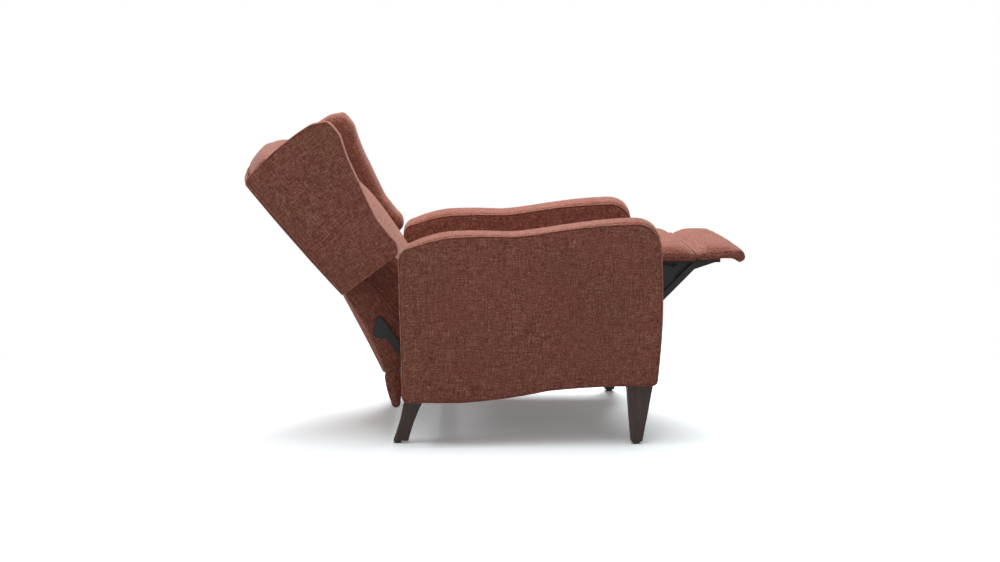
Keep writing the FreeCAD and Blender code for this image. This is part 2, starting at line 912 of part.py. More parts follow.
def calf_pad_points(drop):
    low = board_low_z + board_thickness
    high = board_low_z + board_thickness + pad_height - drop
    shoulder = (low + high) / 2
    middle = (pad_rear_x + pad_seam_x) / 2
    return [
        (pad_rear_x, low, END),
        (pad_rear_x, shoulder, END),
        (pad_rear_x + nose_drop / 2, high - nose_drop / 2, MID),
        (pad_rear_x + nose_drop * 2, high - nose_drop / 4, END),
        (middle, high, MID),
        (pad_seam_x - nose_drop * 2, high - nose_drop / 4, END),
        (pad_seam_x - nose_drop / 2, high - nose_drop, MID),
        (pad_seam_x - pad_gap / 2, shoulder, END),
        (pad_seam_x - pad_gap / 2, low, END),
    ]


def foot_pad_points(drop):
    low = board_low_z + board_thickness
    high = board_low_z + board_thickness + pad_height - drop
    shoulder = (low + high) / 2
    middle = (pad_seam_x + pad_front_x) / 2
    return [
        (pad_seam_x + pad_gap / 2, low, END),
        (pad_seam_x + pad_gap / 2, shoulder, END),
        (pad_seam_x + nose_drop / 2, high - nose_drop, MID),
        (pad_seam_x + nose_drop * 2, high - nose_drop / 4, END),
        (middle, high, MID),
        (pad_front_x - nose_radius, high - nose_drop / 3, END),
        (pad_front_x, (high + board_low_z) / 2, MID),
        (pad_front_x - nose_radius, board_low_z, END),
        (pad_front_x - nose_radius * 2, board_low_z + pad_wrap + foot_wrap_rise, END),
        (board_front_x + pad_gap, board_low_z + pad_wrap + foot_wrap_rise, END),
        (board_front_x + pad_gap, low, END),
    ]


def calf_wrap_points():
    """Cover pulled down over the side of the board."""
    low = board_low_z + board_thickness
    return polygon([
        (pad_rear_x, low - pad_wrap),
        (pad_seam_x - pad_gap / 2, low - pad_wrap),
        (pad_seam_x - pad_gap / 2, low),
        (pad_rear_x, low),
    ])


def foot_wrap_points():
    low = board_low_z + board_thickness
    return polygon([
        (pad_seam_x + pad_gap / 2, low - pad_wrap),
        (board_front_x, low - pad_wrap / 3),
        (board_front_x, low),
        (pad_seam_x + pad_gap / 2, low),
    ])


def pad(points_of, wrap_points):
    side = points_of(pad_side_drop)
    middle = points_of(0)
    body = loft([(side, -pad_half), (middle, 0), (side, pad_half)])
    wrap = prism(wrap_points, board_half + pad_gap, pad_half)
    return body.fuse([wrap, mirrored(wrap)]).removeSplitter()


def make_footrest():
    nodes["torque_tube"] = rod(drive_x, drive_z, tube_radius, -drive_in, drive_in)
    pair("drive_link", drive_link())
    pair("control_link", control_link())
    pair("long_link", long_link())
    pair("front_link", front_link())
    both_sides("drive_rivets", [
        link_rivet(joint_x, joint_z, long_in),
        link_rivet(end_x, end_z, front_in),
    ])
    both_sides("bracket_rivets", [bracket_rivet()])
    pair("footrest_bracket", footrest_bracket())
    nodes["footrest_board"] = box(board_rear_x, board_front_x, -board_half, board_half,
                                  board_low_z, board_low_z + board_thickness)
    nodes["calf_pad"] = pad(calf_pad_points, calf_wrap_points())
    nodes["foot_pad"] = pad(foot_pad_points, foot_wrap_points())


# Back


def cushion_points(y, low_s):
    """Outline of the inside back at one y: crowned front, arched top, flat against the frame."""
    share = 1 - (y / back_half) ** 2
    front = cushion_side_n + cushion_crown * share
    top = cushion_top_s + arch_rise * share
    middle_s = (low_s + top) / 2
    soft = cushion_soft
    return [
        (cushion_rear_n, low_s, END),
        (cushion_side_n - soft, low_s, END),
        (cushion_side_n - soft / 4, low_s + soft / 4, MID),
        (cushion_side_n, low_s + soft, END),
        (front, middle_s, MID),
        (cushion_side_n - soft, top - soft * 2, END),
        (cushion_side_n - soft * 2, top - soft / 2, MID),
        (cushion_rear_n, top, END),
        (0, top - soft / 8, MID),
        (cushion_wrap_n, top - soft / 2, END),
        (cushion_wrap_n, cushion_cap_s, END),
        (cushion_rear_n, cushion_cap_s, END),
    ]


def back_cushion():
    """One body between the arms and a wider upper part between the wings."""
    middle = loft([
        (cushion_points(lower_half, cushion_low_s), -lower_half),
        (cushion_points(0, cushion_low_s), 0),
        (cushion_points(lower_half, cushion_low_s), lower_half),
    ])
    side = loft([
        (cushion_points(lower_half, step_s), lower_half),
        (cushion_points(back_half, step_s), back_half),
    ])
    return middle.fuse([side, mirrored(side)]).removeSplitter()


def wing_points(roll):
    points = []
    for n_share, s_share, kind, roll_share in wing_outline_shares:
        n = wing_rear_n + n_share * wing_depth + roll_share * roll
        s = wing_low_s + s_share * wing_height
        points.append((n, s, kind))
    return points


def wing():
    inner = wing_outer - wing_thickness
    middle = wing_outer - wing_thickness / 2
    return loft([
        (wing_points(0), inner),
        (wing_points(wing_roll), middle),
        (wing_points(0), wing_outer),
    ])


def cover_points(bulge, thickness, top):
    inner = wing_rear_n - soft_gap
    middle_s = (cover_low_s + top) / 2
    return [
        (inner, cover_low_s, END),
        (inner, top, END),
        (inner - thickness, top - thickness / 2, END),
        (inner - thickness - bulge, middle_s, MID),
        (inner - thickness, cover_low_s, END),
    ]


def outside_back():
    side_top = wing_low_s + wing_height * cover_share
    side = cover_points(cover_side_thickness / 2, cover_side_thickness, side_top)
    middle = cover_points(cover_bulge, cover_mid_thickness, cushion_top_s + cover_top_rise)
    edge = wing_outer - cover_side_thickness
    return loft([(side, -edge), (middle, 0), (side, edge)])


def lower_rear_points():
    """Rear edge of the lower back, from the wings down to the bottom rail."""
    return [
        (lower_rear_n, lower_top_s, END),
        (lower_rear_n - lower_depth * rear_bow_share, lower_top_s - lower_height / 2, MID),
        (lower_rear_n - lower_depth, lower_top_s - lower_height, END),
    ]


def lower_side_panel():
    floor_s = lower_top_s - lower_height
    points = lower_rear_points() + [
        (lower_toe_n, floor_s - lower_toe_drop, END),
        (lower_toe_n + lower_depth * toe_share, floor_s + lower_toe_drop, END),
        (lower_front_n, cushion_low_s, END),
        (lower_front_n, lower_top_s, END),
    ]
    outer = seat_plate_out + clear_of_link
    panel = prism(points, outer - panel_thickness, outer)
    for x, z in back_bolts():
        n, s = along_back(x, z)
        panel = panel.cut(hole(n, s, back_bolt_radius))
    base_n, base_s = along_back(recline_base_x, recline_base_z)
    pin_n, pin_s = along_back(*recline_pin_place())
    return panel.cut(bar(base_n, base_s, pin_n, pin_s, link_width + 2 * layer_gap,
                         outer - panel_thickness - overrun, outer + overrun))


def lower_cover_points(bulge):
    """Padded cover behind the lower frame, at one bulge."""
    rear = lower_rear_points()
    top = rear[0]
    bow = rear[1]
    foot = rear[2]
    return [
        (top[0] + cover_side_thickness, top[1], END),
        (top[0] - bulge * lower_edge_share, top[1], END),
        (bow[0] - bulge, bow[1], MID),
        (foot[0] - bulge * lower_edge_share, foot[1], END),
        (foot[0] + cover_side_thickness, foot[1], END),
        (bow[0] + cover_side_thickness, bow[1], MID),
    ]


def lower_outside_back():
    edge = seat_plate_out + clear_of_link - panel_thickness - soft_gap / 2
    inner = edge - lower_cover_round
    side = lower_cover_points(lower_cover_edge)
    shoulder = lower_cover_points(lower_cover_shoulder)
    middle = lower_cover_points(lower_cover_bulge)
    return loft([(side, -edge), (shoulder, -inner), (middle, 0), (shoulder, inner), (side, edge)])


def bottom_rail_cover():
    floor_s = lower_top_s - lower_height
    start_n = lower_rear_n - lower_depth - cover_side_thickness
    points = []
    for n_share, s_share, kind in rail_cover_shares:
        n = start_n + n_share * rail_cover_height
        s = floor_s - rail_cover_height * (1 - s_share) - soft_gap
        points.append((n, s, kind))
    edge = seat_plate_out + clear_of_link
    return prism(points, -edge, edge)


def back_post():
    floor_s = lower_top_s - lower_height
    in_n = cover_thickness + soft_gap
    points = polygon([
        (post_rear_n, post_top_s),
        (post_rear_n, lower_top_s),
        (lower_rear_n + in_n, lower_top_s - in_n),
        (lower_rear_n - lower_depth * rear_bow_share + in_n, lower_top_s - lower_height / 2),
        (lower_rear_n - lower_depth + in_n, floor_s + in_n / 2),
        (lower_toe_n, floor_s),
        (lower_toe_n + lower_depth * toe_share, floor_s + lower_toe_drop * 2),
        (post_front_n, post_knee_s),
        (post_front_n, post_top_s),
    ])
    post = prism(points, post_outer - post_thickness, post_outer)
    for x, z in back_bolts():
        n, s = along_back(x, z)
        post = post.cut(rod(n, s, back_bolt_radius, post_outer - back_bolt_bite, post_outer))
    return post


def back_rail(s, n_from, n_to):
    inner = post_outer - post_thickness
    return box(n_from, n_to, -inner, inner, s, s + back_rail_height)


def make_back():
    nodes["back_cushion"] = reclined(back_cushion())
    nodes["outside_back"] = reclined(outside_back())
    nodes["lower_outside_back"] = reclined(lower_outside_back())
    nodes["bottom_rail_cover"] = reclined(bottom_rail_cover())
    pair("wing", reclined(wing()))
    pair("lower_side_panel", reclined(lower_side_panel()))
    pair("back_post", reclined(back_post()))
    both_sides("back_arm_bolts", [back_bolt(x, z) for x, z in back_bolts()])
    rails = [
        back_rail(post_top_s - back_rail_height, post_rear_n, post_front_n),
        back_rail(lower_top_s, post_rear_n, post_front_n),
        back_rail(lower_top_s - lower_height + back_rail_height / 2,
                  lower_rear_n - lower_depth * rear_bow_share + cover_thickness,
                  lower_toe_n + lower_depth * toe_share),
    ]
    nodes["back_rails"] = reclined(Part.makeCompound(rails))


make_base()
make_recline()
make_seat()
make_footrest()
make_back()

total = Part.makeCompound(list(nodes.values()))
bounds = total.BoundBox
print("nodes", len(nodes))
print("box x %.1f %.1f  y %.1f %.1f  z %.1f %.1f" % (bounds.XMin, bounds.XMax, bounds.YMin,
                                                     bounds.YMax, bounds.ZMin, bounds.ZMax))
for name, shape in nodes.items():
    if not shape.isValid():
        print("not valid:", name)
    shape.exportStep("parts/" + name + ".step")
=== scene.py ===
# %% [markdown]
# # A high leg recliner, lying back with its footrest open
# The chair is a wooden and steel frame dressed in a slubby tweed. The frame
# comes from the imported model, and this script dresses it: each upholstered
# piece is made again in its own place, and each bare part gets its finish.
# Everything is in metres, +X is the way the sitter faces and +Z is up.

# %% Load the frame
import bmesh
import bpy
import math
import numpy as np
from mathutils import Matrix, Vector, noise


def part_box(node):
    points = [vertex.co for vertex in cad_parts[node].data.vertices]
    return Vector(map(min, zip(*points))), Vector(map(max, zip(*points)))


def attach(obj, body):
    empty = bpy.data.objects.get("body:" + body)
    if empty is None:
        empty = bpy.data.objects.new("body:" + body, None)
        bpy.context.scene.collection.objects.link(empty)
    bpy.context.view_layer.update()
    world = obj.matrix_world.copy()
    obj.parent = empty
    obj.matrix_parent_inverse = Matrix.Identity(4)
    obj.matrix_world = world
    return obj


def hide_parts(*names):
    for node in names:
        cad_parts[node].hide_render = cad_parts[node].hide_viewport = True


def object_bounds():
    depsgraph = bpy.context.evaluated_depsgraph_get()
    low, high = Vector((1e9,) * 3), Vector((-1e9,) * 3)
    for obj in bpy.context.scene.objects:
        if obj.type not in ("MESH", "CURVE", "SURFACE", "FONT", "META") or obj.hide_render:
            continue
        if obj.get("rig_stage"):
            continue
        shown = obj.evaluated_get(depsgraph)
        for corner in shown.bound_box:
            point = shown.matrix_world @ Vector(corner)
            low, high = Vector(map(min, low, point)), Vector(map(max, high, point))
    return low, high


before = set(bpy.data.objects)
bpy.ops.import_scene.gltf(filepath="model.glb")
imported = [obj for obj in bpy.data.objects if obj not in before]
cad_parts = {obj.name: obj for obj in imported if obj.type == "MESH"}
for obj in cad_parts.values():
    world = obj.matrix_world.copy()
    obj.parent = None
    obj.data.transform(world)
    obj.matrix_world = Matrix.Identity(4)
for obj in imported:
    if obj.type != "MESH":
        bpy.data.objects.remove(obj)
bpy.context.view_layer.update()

# %% [markdown]
# ## Camera
# The photograph is taken from the chair's right side, a little above it, with
# a normal lens. A camera can be set by eye, but here its place comes from the
# feet and the arms, whose places on the floor are known.

# %% Camera
CAMERA_PLACE = (-0.158, -4.2486, 1.1041)
CAMERA_DOWN_DEG = 8.99
CAMERA_TURN_DEG = -2.54
camera_data = bpy.data.cameras.new("camera")
camera_data.lens = 50
camera_data.sensor_width = 36
camera = bpy.data.objects.new("camera", camera_data)
bpy.context.scene.collection.objects.link(camera)
camera.location = CAMERA_PLACE
camera.rotation_euler = (math.radians(90 - CAMERA_DOWN_DEG), 0, math.radians(CAMERA_TURN_DEG))
bpy.context.scene.camera = camera
print("camera at", tuple(camera.location))

# %% [markdown]
# ## Room
# A product photograph has a white sweep and a broad soft lamp overhead. Here
# a second one on the far side lights the tops, with two weaker ones, in front
# and behind, for the sides. The floor is a large plane. To the camera it is a
# matte sheet with a faint glow, which keeps the chair's shadow soft, and to
# everything else it is a plain pale floor, so that no extra light reaches the
# chair. The world is white where the camera or a reflection sees it, and a
# dim even light elsewhere.

# %% Small helpers for node trees
def new_material(name):
    material = bpy.data.materials.new(name)
    material.use_nodes = True
    material.node_tree.nodes.clear()
    return material, material.node_tree


def add(tree, kind, **values):
    """Adds a node and sets its sockets by name, with spaces written as _."""
    node = tree.nodes.new(kind)
    for key, value in values.items():
        if hasattr(node, key):
            setattr(node, key, value)
        else:
            node.inputs[key.replace("_", " ")].default_value = value
    return node


# %% Floor
FLOOR_TONE = 0.54
FLOOR_TO_CAMERA = (1.22, 1.30, 1.33)
FLOOR_GLOW = 0.13
# The matte floor is an oval round the chair that fades to white between two distances.
POOL_SHIFT = (0.02, 0.0, 0.0)
POOL_SCALE = (0.92, 1.0, 1.0)
POOL_FROM, POOL_TO = 0.85, 1.9
floor_material, tree = new_material("studio_floor")
link = tree.links.new
path = add(tree, "ShaderNodeLightPath")
seen = add(tree, "ShaderNodeMath", operation="MAXIMUM")
seen_glass = add(tree, "ShaderNodeMath", operation="MAXIMUM")
pale = add(tree, "ShaderNodeBsdfDiffuse", Color=(FLOOR_TONE,) * 3 + (1,))
matte = add(tree, "ShaderNodeBsdfDiffuse", Color=FLOOR_TO_CAMERA + (1,))
glow = add(tree, "ShaderNodeEmission", Color=(1, 1, 1, 1), Strength=FLOOR_GLOW)
bright = add(tree, "ShaderNodeAddShader")
white = add(tree, "ShaderNodeEmission", Color=(1, 1, 1, 1), Strength=1.0)
where = add(tree, "ShaderNodeTexCoord")
near = add(tree, "ShaderNodeMapping")
near.inputs["Location"].default_value = POOL_SHIFT
near.inputs["Scale"].default_value = POOL_SCALE
away = add(tree, "ShaderNodeVectorMath", operation="LENGTH")
fade = add(tree, "ShaderNodeMapRange", interpolation_type="SMOOTHSTEP")
fade.inputs["From Min"].default_value = POOL_FROM
fade.inputs["From Max"].default_value = POOL_TO
sweep = add(tree, "ShaderNodeMixShader")
choose = add(tree, "ShaderNodeMixShader")
out = add(tree, "ShaderNodeOutputMaterial")
link(path.outputs["Is Camera Ray"], seen.inputs[0])
link(path.outputs["Is Glossy Ray"], seen.inputs[1])
link(seen.outputs[0], seen_glass.inputs[0])
link(path.outputs["Is Transmission Ray"], seen_glass.inputs[1])
link(where.outputs["Object"], near.inputs["Vector"])
link(near.outputs[0], away.inputs[0])
link(away.outputs["Value"], fade.inputs["Value"])
link(fade.outputs[0], sweep.inputs[0])
link(matte.outputs[0], bright.inputs[0])
link(glow.outputs[0], bright.inputs[1])
link(bright.outputs[0], sweep.inputs[1])
link(white.outputs[0], sweep.inputs[2])
link(seen_glass.outputs[0], choose.inputs[0])
link(pale.outputs[0], choose.inputs[1])
link(sweep.outputs[0], choose.inputs[2])
link(choose.outputs[0], out.inputs["Surface"])
bpy.ops.mesh.primitive_plane_add(size=60, location=(0, 0, 0))
floor = bpy.context.object
floor.name = "floor"
floor.data.materials.append(floor_material)
floor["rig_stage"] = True

# %% World
AMBIENT = 0.15
world = bpy.data.worlds.new("studio")
bpy.context.scene.world = world
world.use_nodes = True
tree = world.node_tree
tree.nodes.clear()
path = add(tree, "ShaderNodeLightPath")
seen = add(tree, "ShaderNodeMath", operation="MAXIMUM")
seen_glass = add(tree, "ShaderNodeMath", operation="MAXIMUM")
ambient = add(tree, "ShaderNodeBackground", Color=(1, 1, 1, 1), Strength=AMBIENT)
white = add(tree, "ShaderNodeBackground", Color=(1, 1, 1, 1), Strength=1.0)
choose = add(tree, "ShaderNodeMixShader")
out = add(tree, "ShaderNodeOutputWorld")
tree.links.new(path.outputs["Is Camera Ray"], seen.inputs[0])
tree.links.new(path.outputs["Is Glossy Ray"], seen.inputs[1])
tree.links.new(seen.outputs[0], seen_glass.inputs[0])
tree.links.new(path.outputs["Is Transmission Ray"], seen_glass.inputs[1])
tree.links.new(seen_glass.outputs[0], choose.inputs[0])
tree.links.new(ambient.outputs[0], choose.inputs[1])
tree.links.new(white.outputs[0], choose.inputs[2])
tree.links.new(choose.outputs[0], out.inputs["Surface"])

# %% Lamps
def lamp(name, place, aim, size, power):
    data = bpy.data.lights.new(name, "AREA")
    data.shape = "RECTANGLE"
    data.size, data.size_y = size
    data.energy = power
    lit = bpy.data.objects.new(name, data)
    bpy.context.scene.collection.objects.link(lit)
    lit.location = place
    lit.rotation_euler = (Vector(aim) - Vector(place)).to_track_quat("-Z", "Y").to_euler()


lamp("overhead", (-0.3, -0.4, 3.9), (0, 0, 0.3), (4.0, 4.0), 150)
lamp("top_light", (0.6, 2.1, 3.1), (0.4, 0, 0.5), (1.8, 1.8), 148)
lamp("front_fill", (2.6, -4.2, 2.4), (0, 0, 0.5), (2.5, 2.5), 9)
lamp("behind_fill", (-3.6, -0.7, 0.7), (-0.4, 0, 0.4), (1.6, 1.6), 38)
bpy.context.scene.view_settings.view_transform = "Standard"

# %% [markdown]
# ## Tweed
# The cover is a rust-brown tweed: a plain weave with thick, uneven threads
# (slubs) that run both ways, some lighter and pinker, some darker and olive.
# An image would repeat, so three noises are stretched, one along each
# direction of the weave, and their mix with an even grain picks the thread's
# colour. On a side face two of them show as crossing threads. A seam's own
# attribute paints shade into the fold where two panels meet, or a painted
# highlight onto the edge that the lamp catches, and the welt cords wear a copy
# painted lighter as a highlight. On the back the pattern turns with the rake.

# %% Tweed material
GRAINS_PER_METRE = 250
THREADS_PER_METRE = 400
SLUBS_PER_METRE = 42
WEAVE_PITCH = 0.0011
DARK_THREAD, LOW_THREAD = (0.100, 0.030, 0.021), (0.170, 0.050, 0.036)
MID_THREAD, HIGH_THREAD = (0.236, 0.074, 0.054), (0.306, 0.106, 0.081)
PALE_THREAD = (0.430, 0.185, 0.148)
THREAD_STOPS = (0.0, 0.26, 0.5, 0.74, 1.0)
SLUBS_WEIGHT, EVEN_WEIGHT, WEAVE_WEIGHT = 0.65, 0.8, 0.035
DARKEST, PALEST = 0.74, 1.26
OLIVE_TINT = (0.86, 1.06, 0.92, 1)


# The last argument scales every thread colour; above 1 it is a painted highlight.
def tweed(name, turn, painted_highlight_gain=1.0):
    material, tree = new_material(name)
    link = tree.links.new
    where = add(tree, "ShaderNodeTexCoord")
    aligned = add(tree, "ShaderNodeMapping")
    aligned.inputs["Rotation"].default_value = turn
    link(where.outputs["Object"], aligned.inputs["Vector"])
    facing = add(tree, "ShaderNodeMapping", vector_type="NORMAL")
    facing.inputs["Rotation"].default_value = turn
    link(where.outputs["Normal"], facing.inputs["Vector"])

    def vectors(operation, first, second=None):
        node = add(tree, "ShaderNodeVectorMath", operation=operation)
        for socket, value in zip(node.inputs, (first, second)):
            if isinstance(value, tuple):
                socket.default_value = value
            elif value is not None:
                link(value, socket)
        return node.outputs["Value" if operation == "DOT_PRODUCT" else "Vector"]

    def numbers(operation, first, second):
        node = add(tree, "ShaderNodeMath", operation=operation)
        for socket, value in zip(node.inputs, (first, second)):
            if isinstance(value, float):
                socket.default_value = value
            else:
                link(value, socket)
        return node.outputs[0]

    def ranged(value, from_min, from_max, to_min, to_max):
        node = add(tree, "ShaderNodeMapRange")
        for socket, number in zip(list(node.inputs)[1:5], (from_min, from_max, to_min, to_max)):
            socket.default_value = number
        link(value, node.inputs["Value"])
        return node.outputs[0]

    def grain(scale, detail, source):
        stretch = add(tree, "ShaderNodeMapping")
        stretch.inputs["Scale"].default_value = scale
        link(source, stretch.inputs["Vector"])
        node = add(tree, "ShaderNodeTexNoise", Scale=1.0, Detail=detail, Roughness=0.6)
        link(stretch.outputs[0], node.inputs["Vector"])
        return node.outputs

    # Slow waves in the cloth bend the threads a little.
    wander = grain((7, 7, 7), 2.0, aligned.outputs[0])["Color"]
    bent = vectors("ADD", aligned.outputs[0], vectors("MULTIPLY", wander, (0.005, 0.005, 0.005)))
    # One noise for each way that a thread can run; those that run into the face are left out.
    fine, long = THREADS_PER_METRE, SLUBS_PER_METRE
    runs = [grain(tuple(long if a == axis else fine for a in range(3)), 2.5, bent)["Fac"]
            for axis in range(3)]
    gathered = add(tree, "ShaderNodeCombineXYZ")
    for socket, run in zip(gathered.inputs, runs):
        link(run, socket)
    squared = vectors("MULTIPLY", facing.outputs[0], facing.outputs[0])
    in_face = vectors("SUBTRACT", (1.0, 1.0, 1.0), squared)
    slubs = vectors("DOT_PRODUCT", gathered.outputs[0], in_face)
    # The plain weave: the product of two waves, one thread over and one under.
    waves = vectors("SINE", vectors("MULTIPLY", bent, (math.pi / WEAVE_PITCH,) * 3))
    parts = add(tree, "ShaderNodeSeparateXYZ")
    link(waves, parts.inputs[0])
    shifted = []
    for order in ((1, 2, 0), (2, 0, 1)):
        swapped = add(tree, "ShaderNodeCombineXYZ")
        for socket, index in zip(swapped.inputs, order):
            link(parts.outputs[index], socket)
        shifted.append(swapped.outputs[0])
    weave = vectors("DOT_PRODUCT", vectors("MULTIPLY", *shifted), squared)

    colours = add(tree, "ShaderNodeValToRGB")
    ramp = colours.color_ramp
    while len(ramp.elements) < 5:
        ramp.elements.new(0.5)
    stops = (DARK_THREAD, LOW_THREAD, MID_THREAD, HIGH_THREAD, PALE_THREAD)
    for element, position, colour in zip(ramp.elements, THREAD_STOPS, stops):
        element.position = position
        element.color = tuple(channel * painted_highlight_gain for channel in colour) + (1,)
    even = grain((GRAINS_PER_METRE,) * 3, 1.5, aligned.outputs[0])["Fac"]
    shown = numbers("ADD", numbers("MULTIPLY", slubs, SLUBS_WEIGHT),
                    numbers("MULTIPLY", even, EVEN_WEIGHT))
    shown = numbers("ADD", shown, numbers("MULTIPLY", weave, WEAVE_WEIGHT))
    link(ranged(shown, DARKEST, PALEST, 0.0, 1.0), colours.inputs[0])
    # Some threads are dyed towards olive, and the red drifts slowly across the cloth.
    mixed = numbers("ADD", ranged(grain((150, 150, 150), 2.0, bent)["Fac"], 0.35, 0.75, 0.0, 0.6),
                    ranged(grain((5, 5, 5), 2.0, aligned.outputs[0])["Fac"], 0.35, 0.65, 0.0, 0.4))
    tint = add(tree, "ShaderNodeMix", data_type="RGBA", blend_type="MULTIPLY")
    tint.inputs["B"].default_value = OLIVE_TINT
    link(mixed, tint.inputs["Factor"])
    link(colours.outputs[0], tint.inputs["A"])
    # A seam's fold gets painted shade, a raised edge a painted highlight, and the dye is a little
    # uneven.
    seam_shade_and_highlight = add(tree, "ShaderNodeAttribute", attribute_name="seam_shade_and_highlight")
    fold = ranged(seam_shade_and_highlight.outputs["Fac"], -1.0, 1.0, 1.65, 0.35)
    level = ranged(grain((4, 4, 4), 3.0, aligned.outputs[0])["Fac"], 0.3, 0.7, 0.93, 1.06)
    shade = add(tree, "ShaderNodeVectorMath", operation="SCALE")
    link(tint.outputs["Result"], shade.inputs[0])
    link(numbers("MULTIPLY", fold, level), shade.inputs["Scale"])

    padding = add(tree, "ShaderNodeBump", Strength=0.3, Distance=0.010)
    link(grain((11, 11, 11), 2.5, aligned.outputs[0])["Fac"], padding.inputs["Height"])
    thread = add(tree, "ShaderNodeBump", Strength=0.6, Distance=0.0009)
    link(slubs, thread.inputs["Height"])
    link(padding.outputs["Normal"], thread.inputs["Normal"])
    crossing = add(tree, "ShaderNodeBump", Strength=0.5, Distance=0.0003)
    link(weave, crossing.inputs["Height"])
    link(thread.outputs["Normal"], crossing.inputs["Normal"])
    cloth = add(tree, "ShaderNodeBsdfPrincipled", Roughness=0.95)
    cloth.inputs["Specular IOR Level"].default_value = 0.12
    cloth.inputs["Sheen Weight"].default_value = 0.30
    cloth.inputs["Sheen Roughness"].default_value = 0.40
    cloth.inputs["Sheen Tint"].default_value = (1.0, 0.80, 0.74, 1)
    link(shade.outputs[0], cloth.inputs["Base Color"])
    link(crossing.outputs["Normal"], cloth.inputs["Normal"])
    out = add(tree, "ShaderNodeOutputMaterial")
    link(cloth.outputs[0], out.inputs["Surface"])
    return material


RAKE = math.radians(40)
body_tweed = tweed("tweed", (0, 0, 0))
back_tweed = tweed("tweed_on_the_rake", (0, RAKE, 0))
# The welt cords' tweed is painted 15% lighter, a painted highlight on the raised cords.
welt_tweed_painted_lighter = tweed("tweed_of_the_welts_painted_lighter", (0.5, 0.8, 0.3), 1.15)

# %% [markdown]
# ## Wood, steel, plastic and webbing
# The legs are stained a dark espresso, with a faint grain along them. The
# hidden rails are bare softwood. The footrest's board is stained plywood, and
# the stretchers between the arms, which show from the front, match it.
# The mechanism is black enamelled steel with slightly paler links. Rivets and
# bolts that show are blackened too, and the pins inside are zinc.

# %% Wood
def wood(name, dark, pale_tone, roughness, stretch, coat):
    material, tree = new_material(name)
    link = tree.links.new
    where = add(tree, "ShaderNodeTexCoord")
    along = add(tree, "ShaderNodeMapping")
    along.inputs["Scale"].default_value = stretch
    link(where.outputs["Object"], along.inputs["Vector"])
    grain = add(tree, "ShaderNodeTexNoise", Scale=1.0, Detail=6.0, Roughness=0.6, Distortion=0.6)
    link(along.outputs[0], grain.inputs["Vector"])
    colours = add(tree, "ShaderNodeValToRGB")
    colours.color_ramp.elements[0].position = 0.32
    colours.color_ramp.elements[0].color = dark + (1,)
    colours.color_ramp.elements[1].position = 0.70
    colours.color_ramp.elements[1].color = pale_tone + (1,)
    link(grain.outputs["Fac"], colours.inputs[0])
    pores = add(tree, "ShaderNodeBump", Strength=0.25, Distance=0.0006)
    link(grain.outputs["Fac"], pores.inputs["Height"])
    rub = add(tree, "ShaderNodeMapRange")
    rub.inputs["To Min"].default_value = roughness - 0.06
    rub.inputs["To Max"].default_value = roughness + 0.12
    link(grain.outputs["Fac"], rub.inputs["Value"])
    surface = add(tree, "ShaderNodeBsdfPrincipled")
    surface.inputs["Specular IOR Level"].default_value = 0.3
    surface.inputs["Coat Weight"].default_value = coat
    surface.inputs["Coat Roughness"].default_value = 0.25
    link(colours.outputs[0], surface.inputs["Base Color"])
    link(rub.outputs[0], surface.inputs["Roughness"])
    link(pores.outputs["Normal"], surface.inputs["Normal"])
    out = add(tree, "ShaderNodeOutputMaterial")
    link(surface.outputs[0], out.inputs["Surface"])
    return material


leg_wood = wood("espresso_wood", (0.051, 0.034, 0.029), (0.100, 0.070, 0.062), 0.58,
                (120, 120, 9), 0.0)
frame_wood = wood("frame_softwood", (0.42, 0.27, 0.15), (0.62, 0.44, 0.27), 0.7,
                  (9, 110, 110), 0.0)
board_wood = wood("footrest_plywood", (0.030, 0.022, 0.018), (0.070, 0.052, 0.042), 0.75,
                  (90, 8, 90), 0.0)

# %% Steel and plastic
def metal(name, colour, roughness, metallic, scuff):
    material, tree = new_material(name)
    link = tree.links.new
    where = add(tree, "ShaderNodeTexCoord")
    blotch = add(tree, "ShaderNodeTexNoise", Scale=38.0, Detail=5.0, Roughness=0.65)
    link(where.outputs["Object"], blotch.inputs["Vector"])
    colours = add(tree, "ShaderNodeValToRGB")
    colours.color_ramp.elements[0].position = 0.35
    colours.color_ramp.elements[0].color = colour + (1,)
    colours.color_ramp.elements[1].position = 0.85
    colours.color_ramp.elements[1].color = tuple(min(1.0, c * scuff) for c in colour) + (1,)
    link(blotch.outputs["Fac"], colours.inputs[0])
    rub = add(tree, "ShaderNodeMapRange")
    rub.inputs["To Min"].default_value = roughness - 0.08
    rub.inputs["To Max"].default_value = roughness + 0.14
    link(blotch.outputs["Fac"], rub.inputs["Value"])
    skin = add(tree, "ShaderNodeBump", Strength=0.12, Distance=0.0004)
    link(blotch.outputs["Fac"], skin.inputs["Height"])
    surface = add(tree, "ShaderNodeBsdfPrincipled")
    surface.inputs["Metallic"].default_value = metallic
    link(colours.outputs[0], surface.inputs["Base Color"])
    link(rub.outputs[0], surface.inputs["Roughness"])
    link(skin.outputs["Normal"], surface.inputs["Normal"])
    out = add(tree, "ShaderNodeOutputMaterial")
    link(surface.outputs[0], out.inputs["Surface"])
    return material


black_steel = metal("black_enamelled_steel", (0.008, 0.009, 0.0085), 0.50, 0.3, 2.0)
link_steel = metal("dark_link_steel", (0.012, 0.013, 0.0125), 0.44, 0.5, 2.2)
bare_steel = metal("zinc_fasteners", (0.36, 0.36, 0.37), 0.34, 1.0, 1.4)
black_plastic = metal("black_plastic", (0.014, 0.014, 0.014), 0.5, 0.0, 1.8)

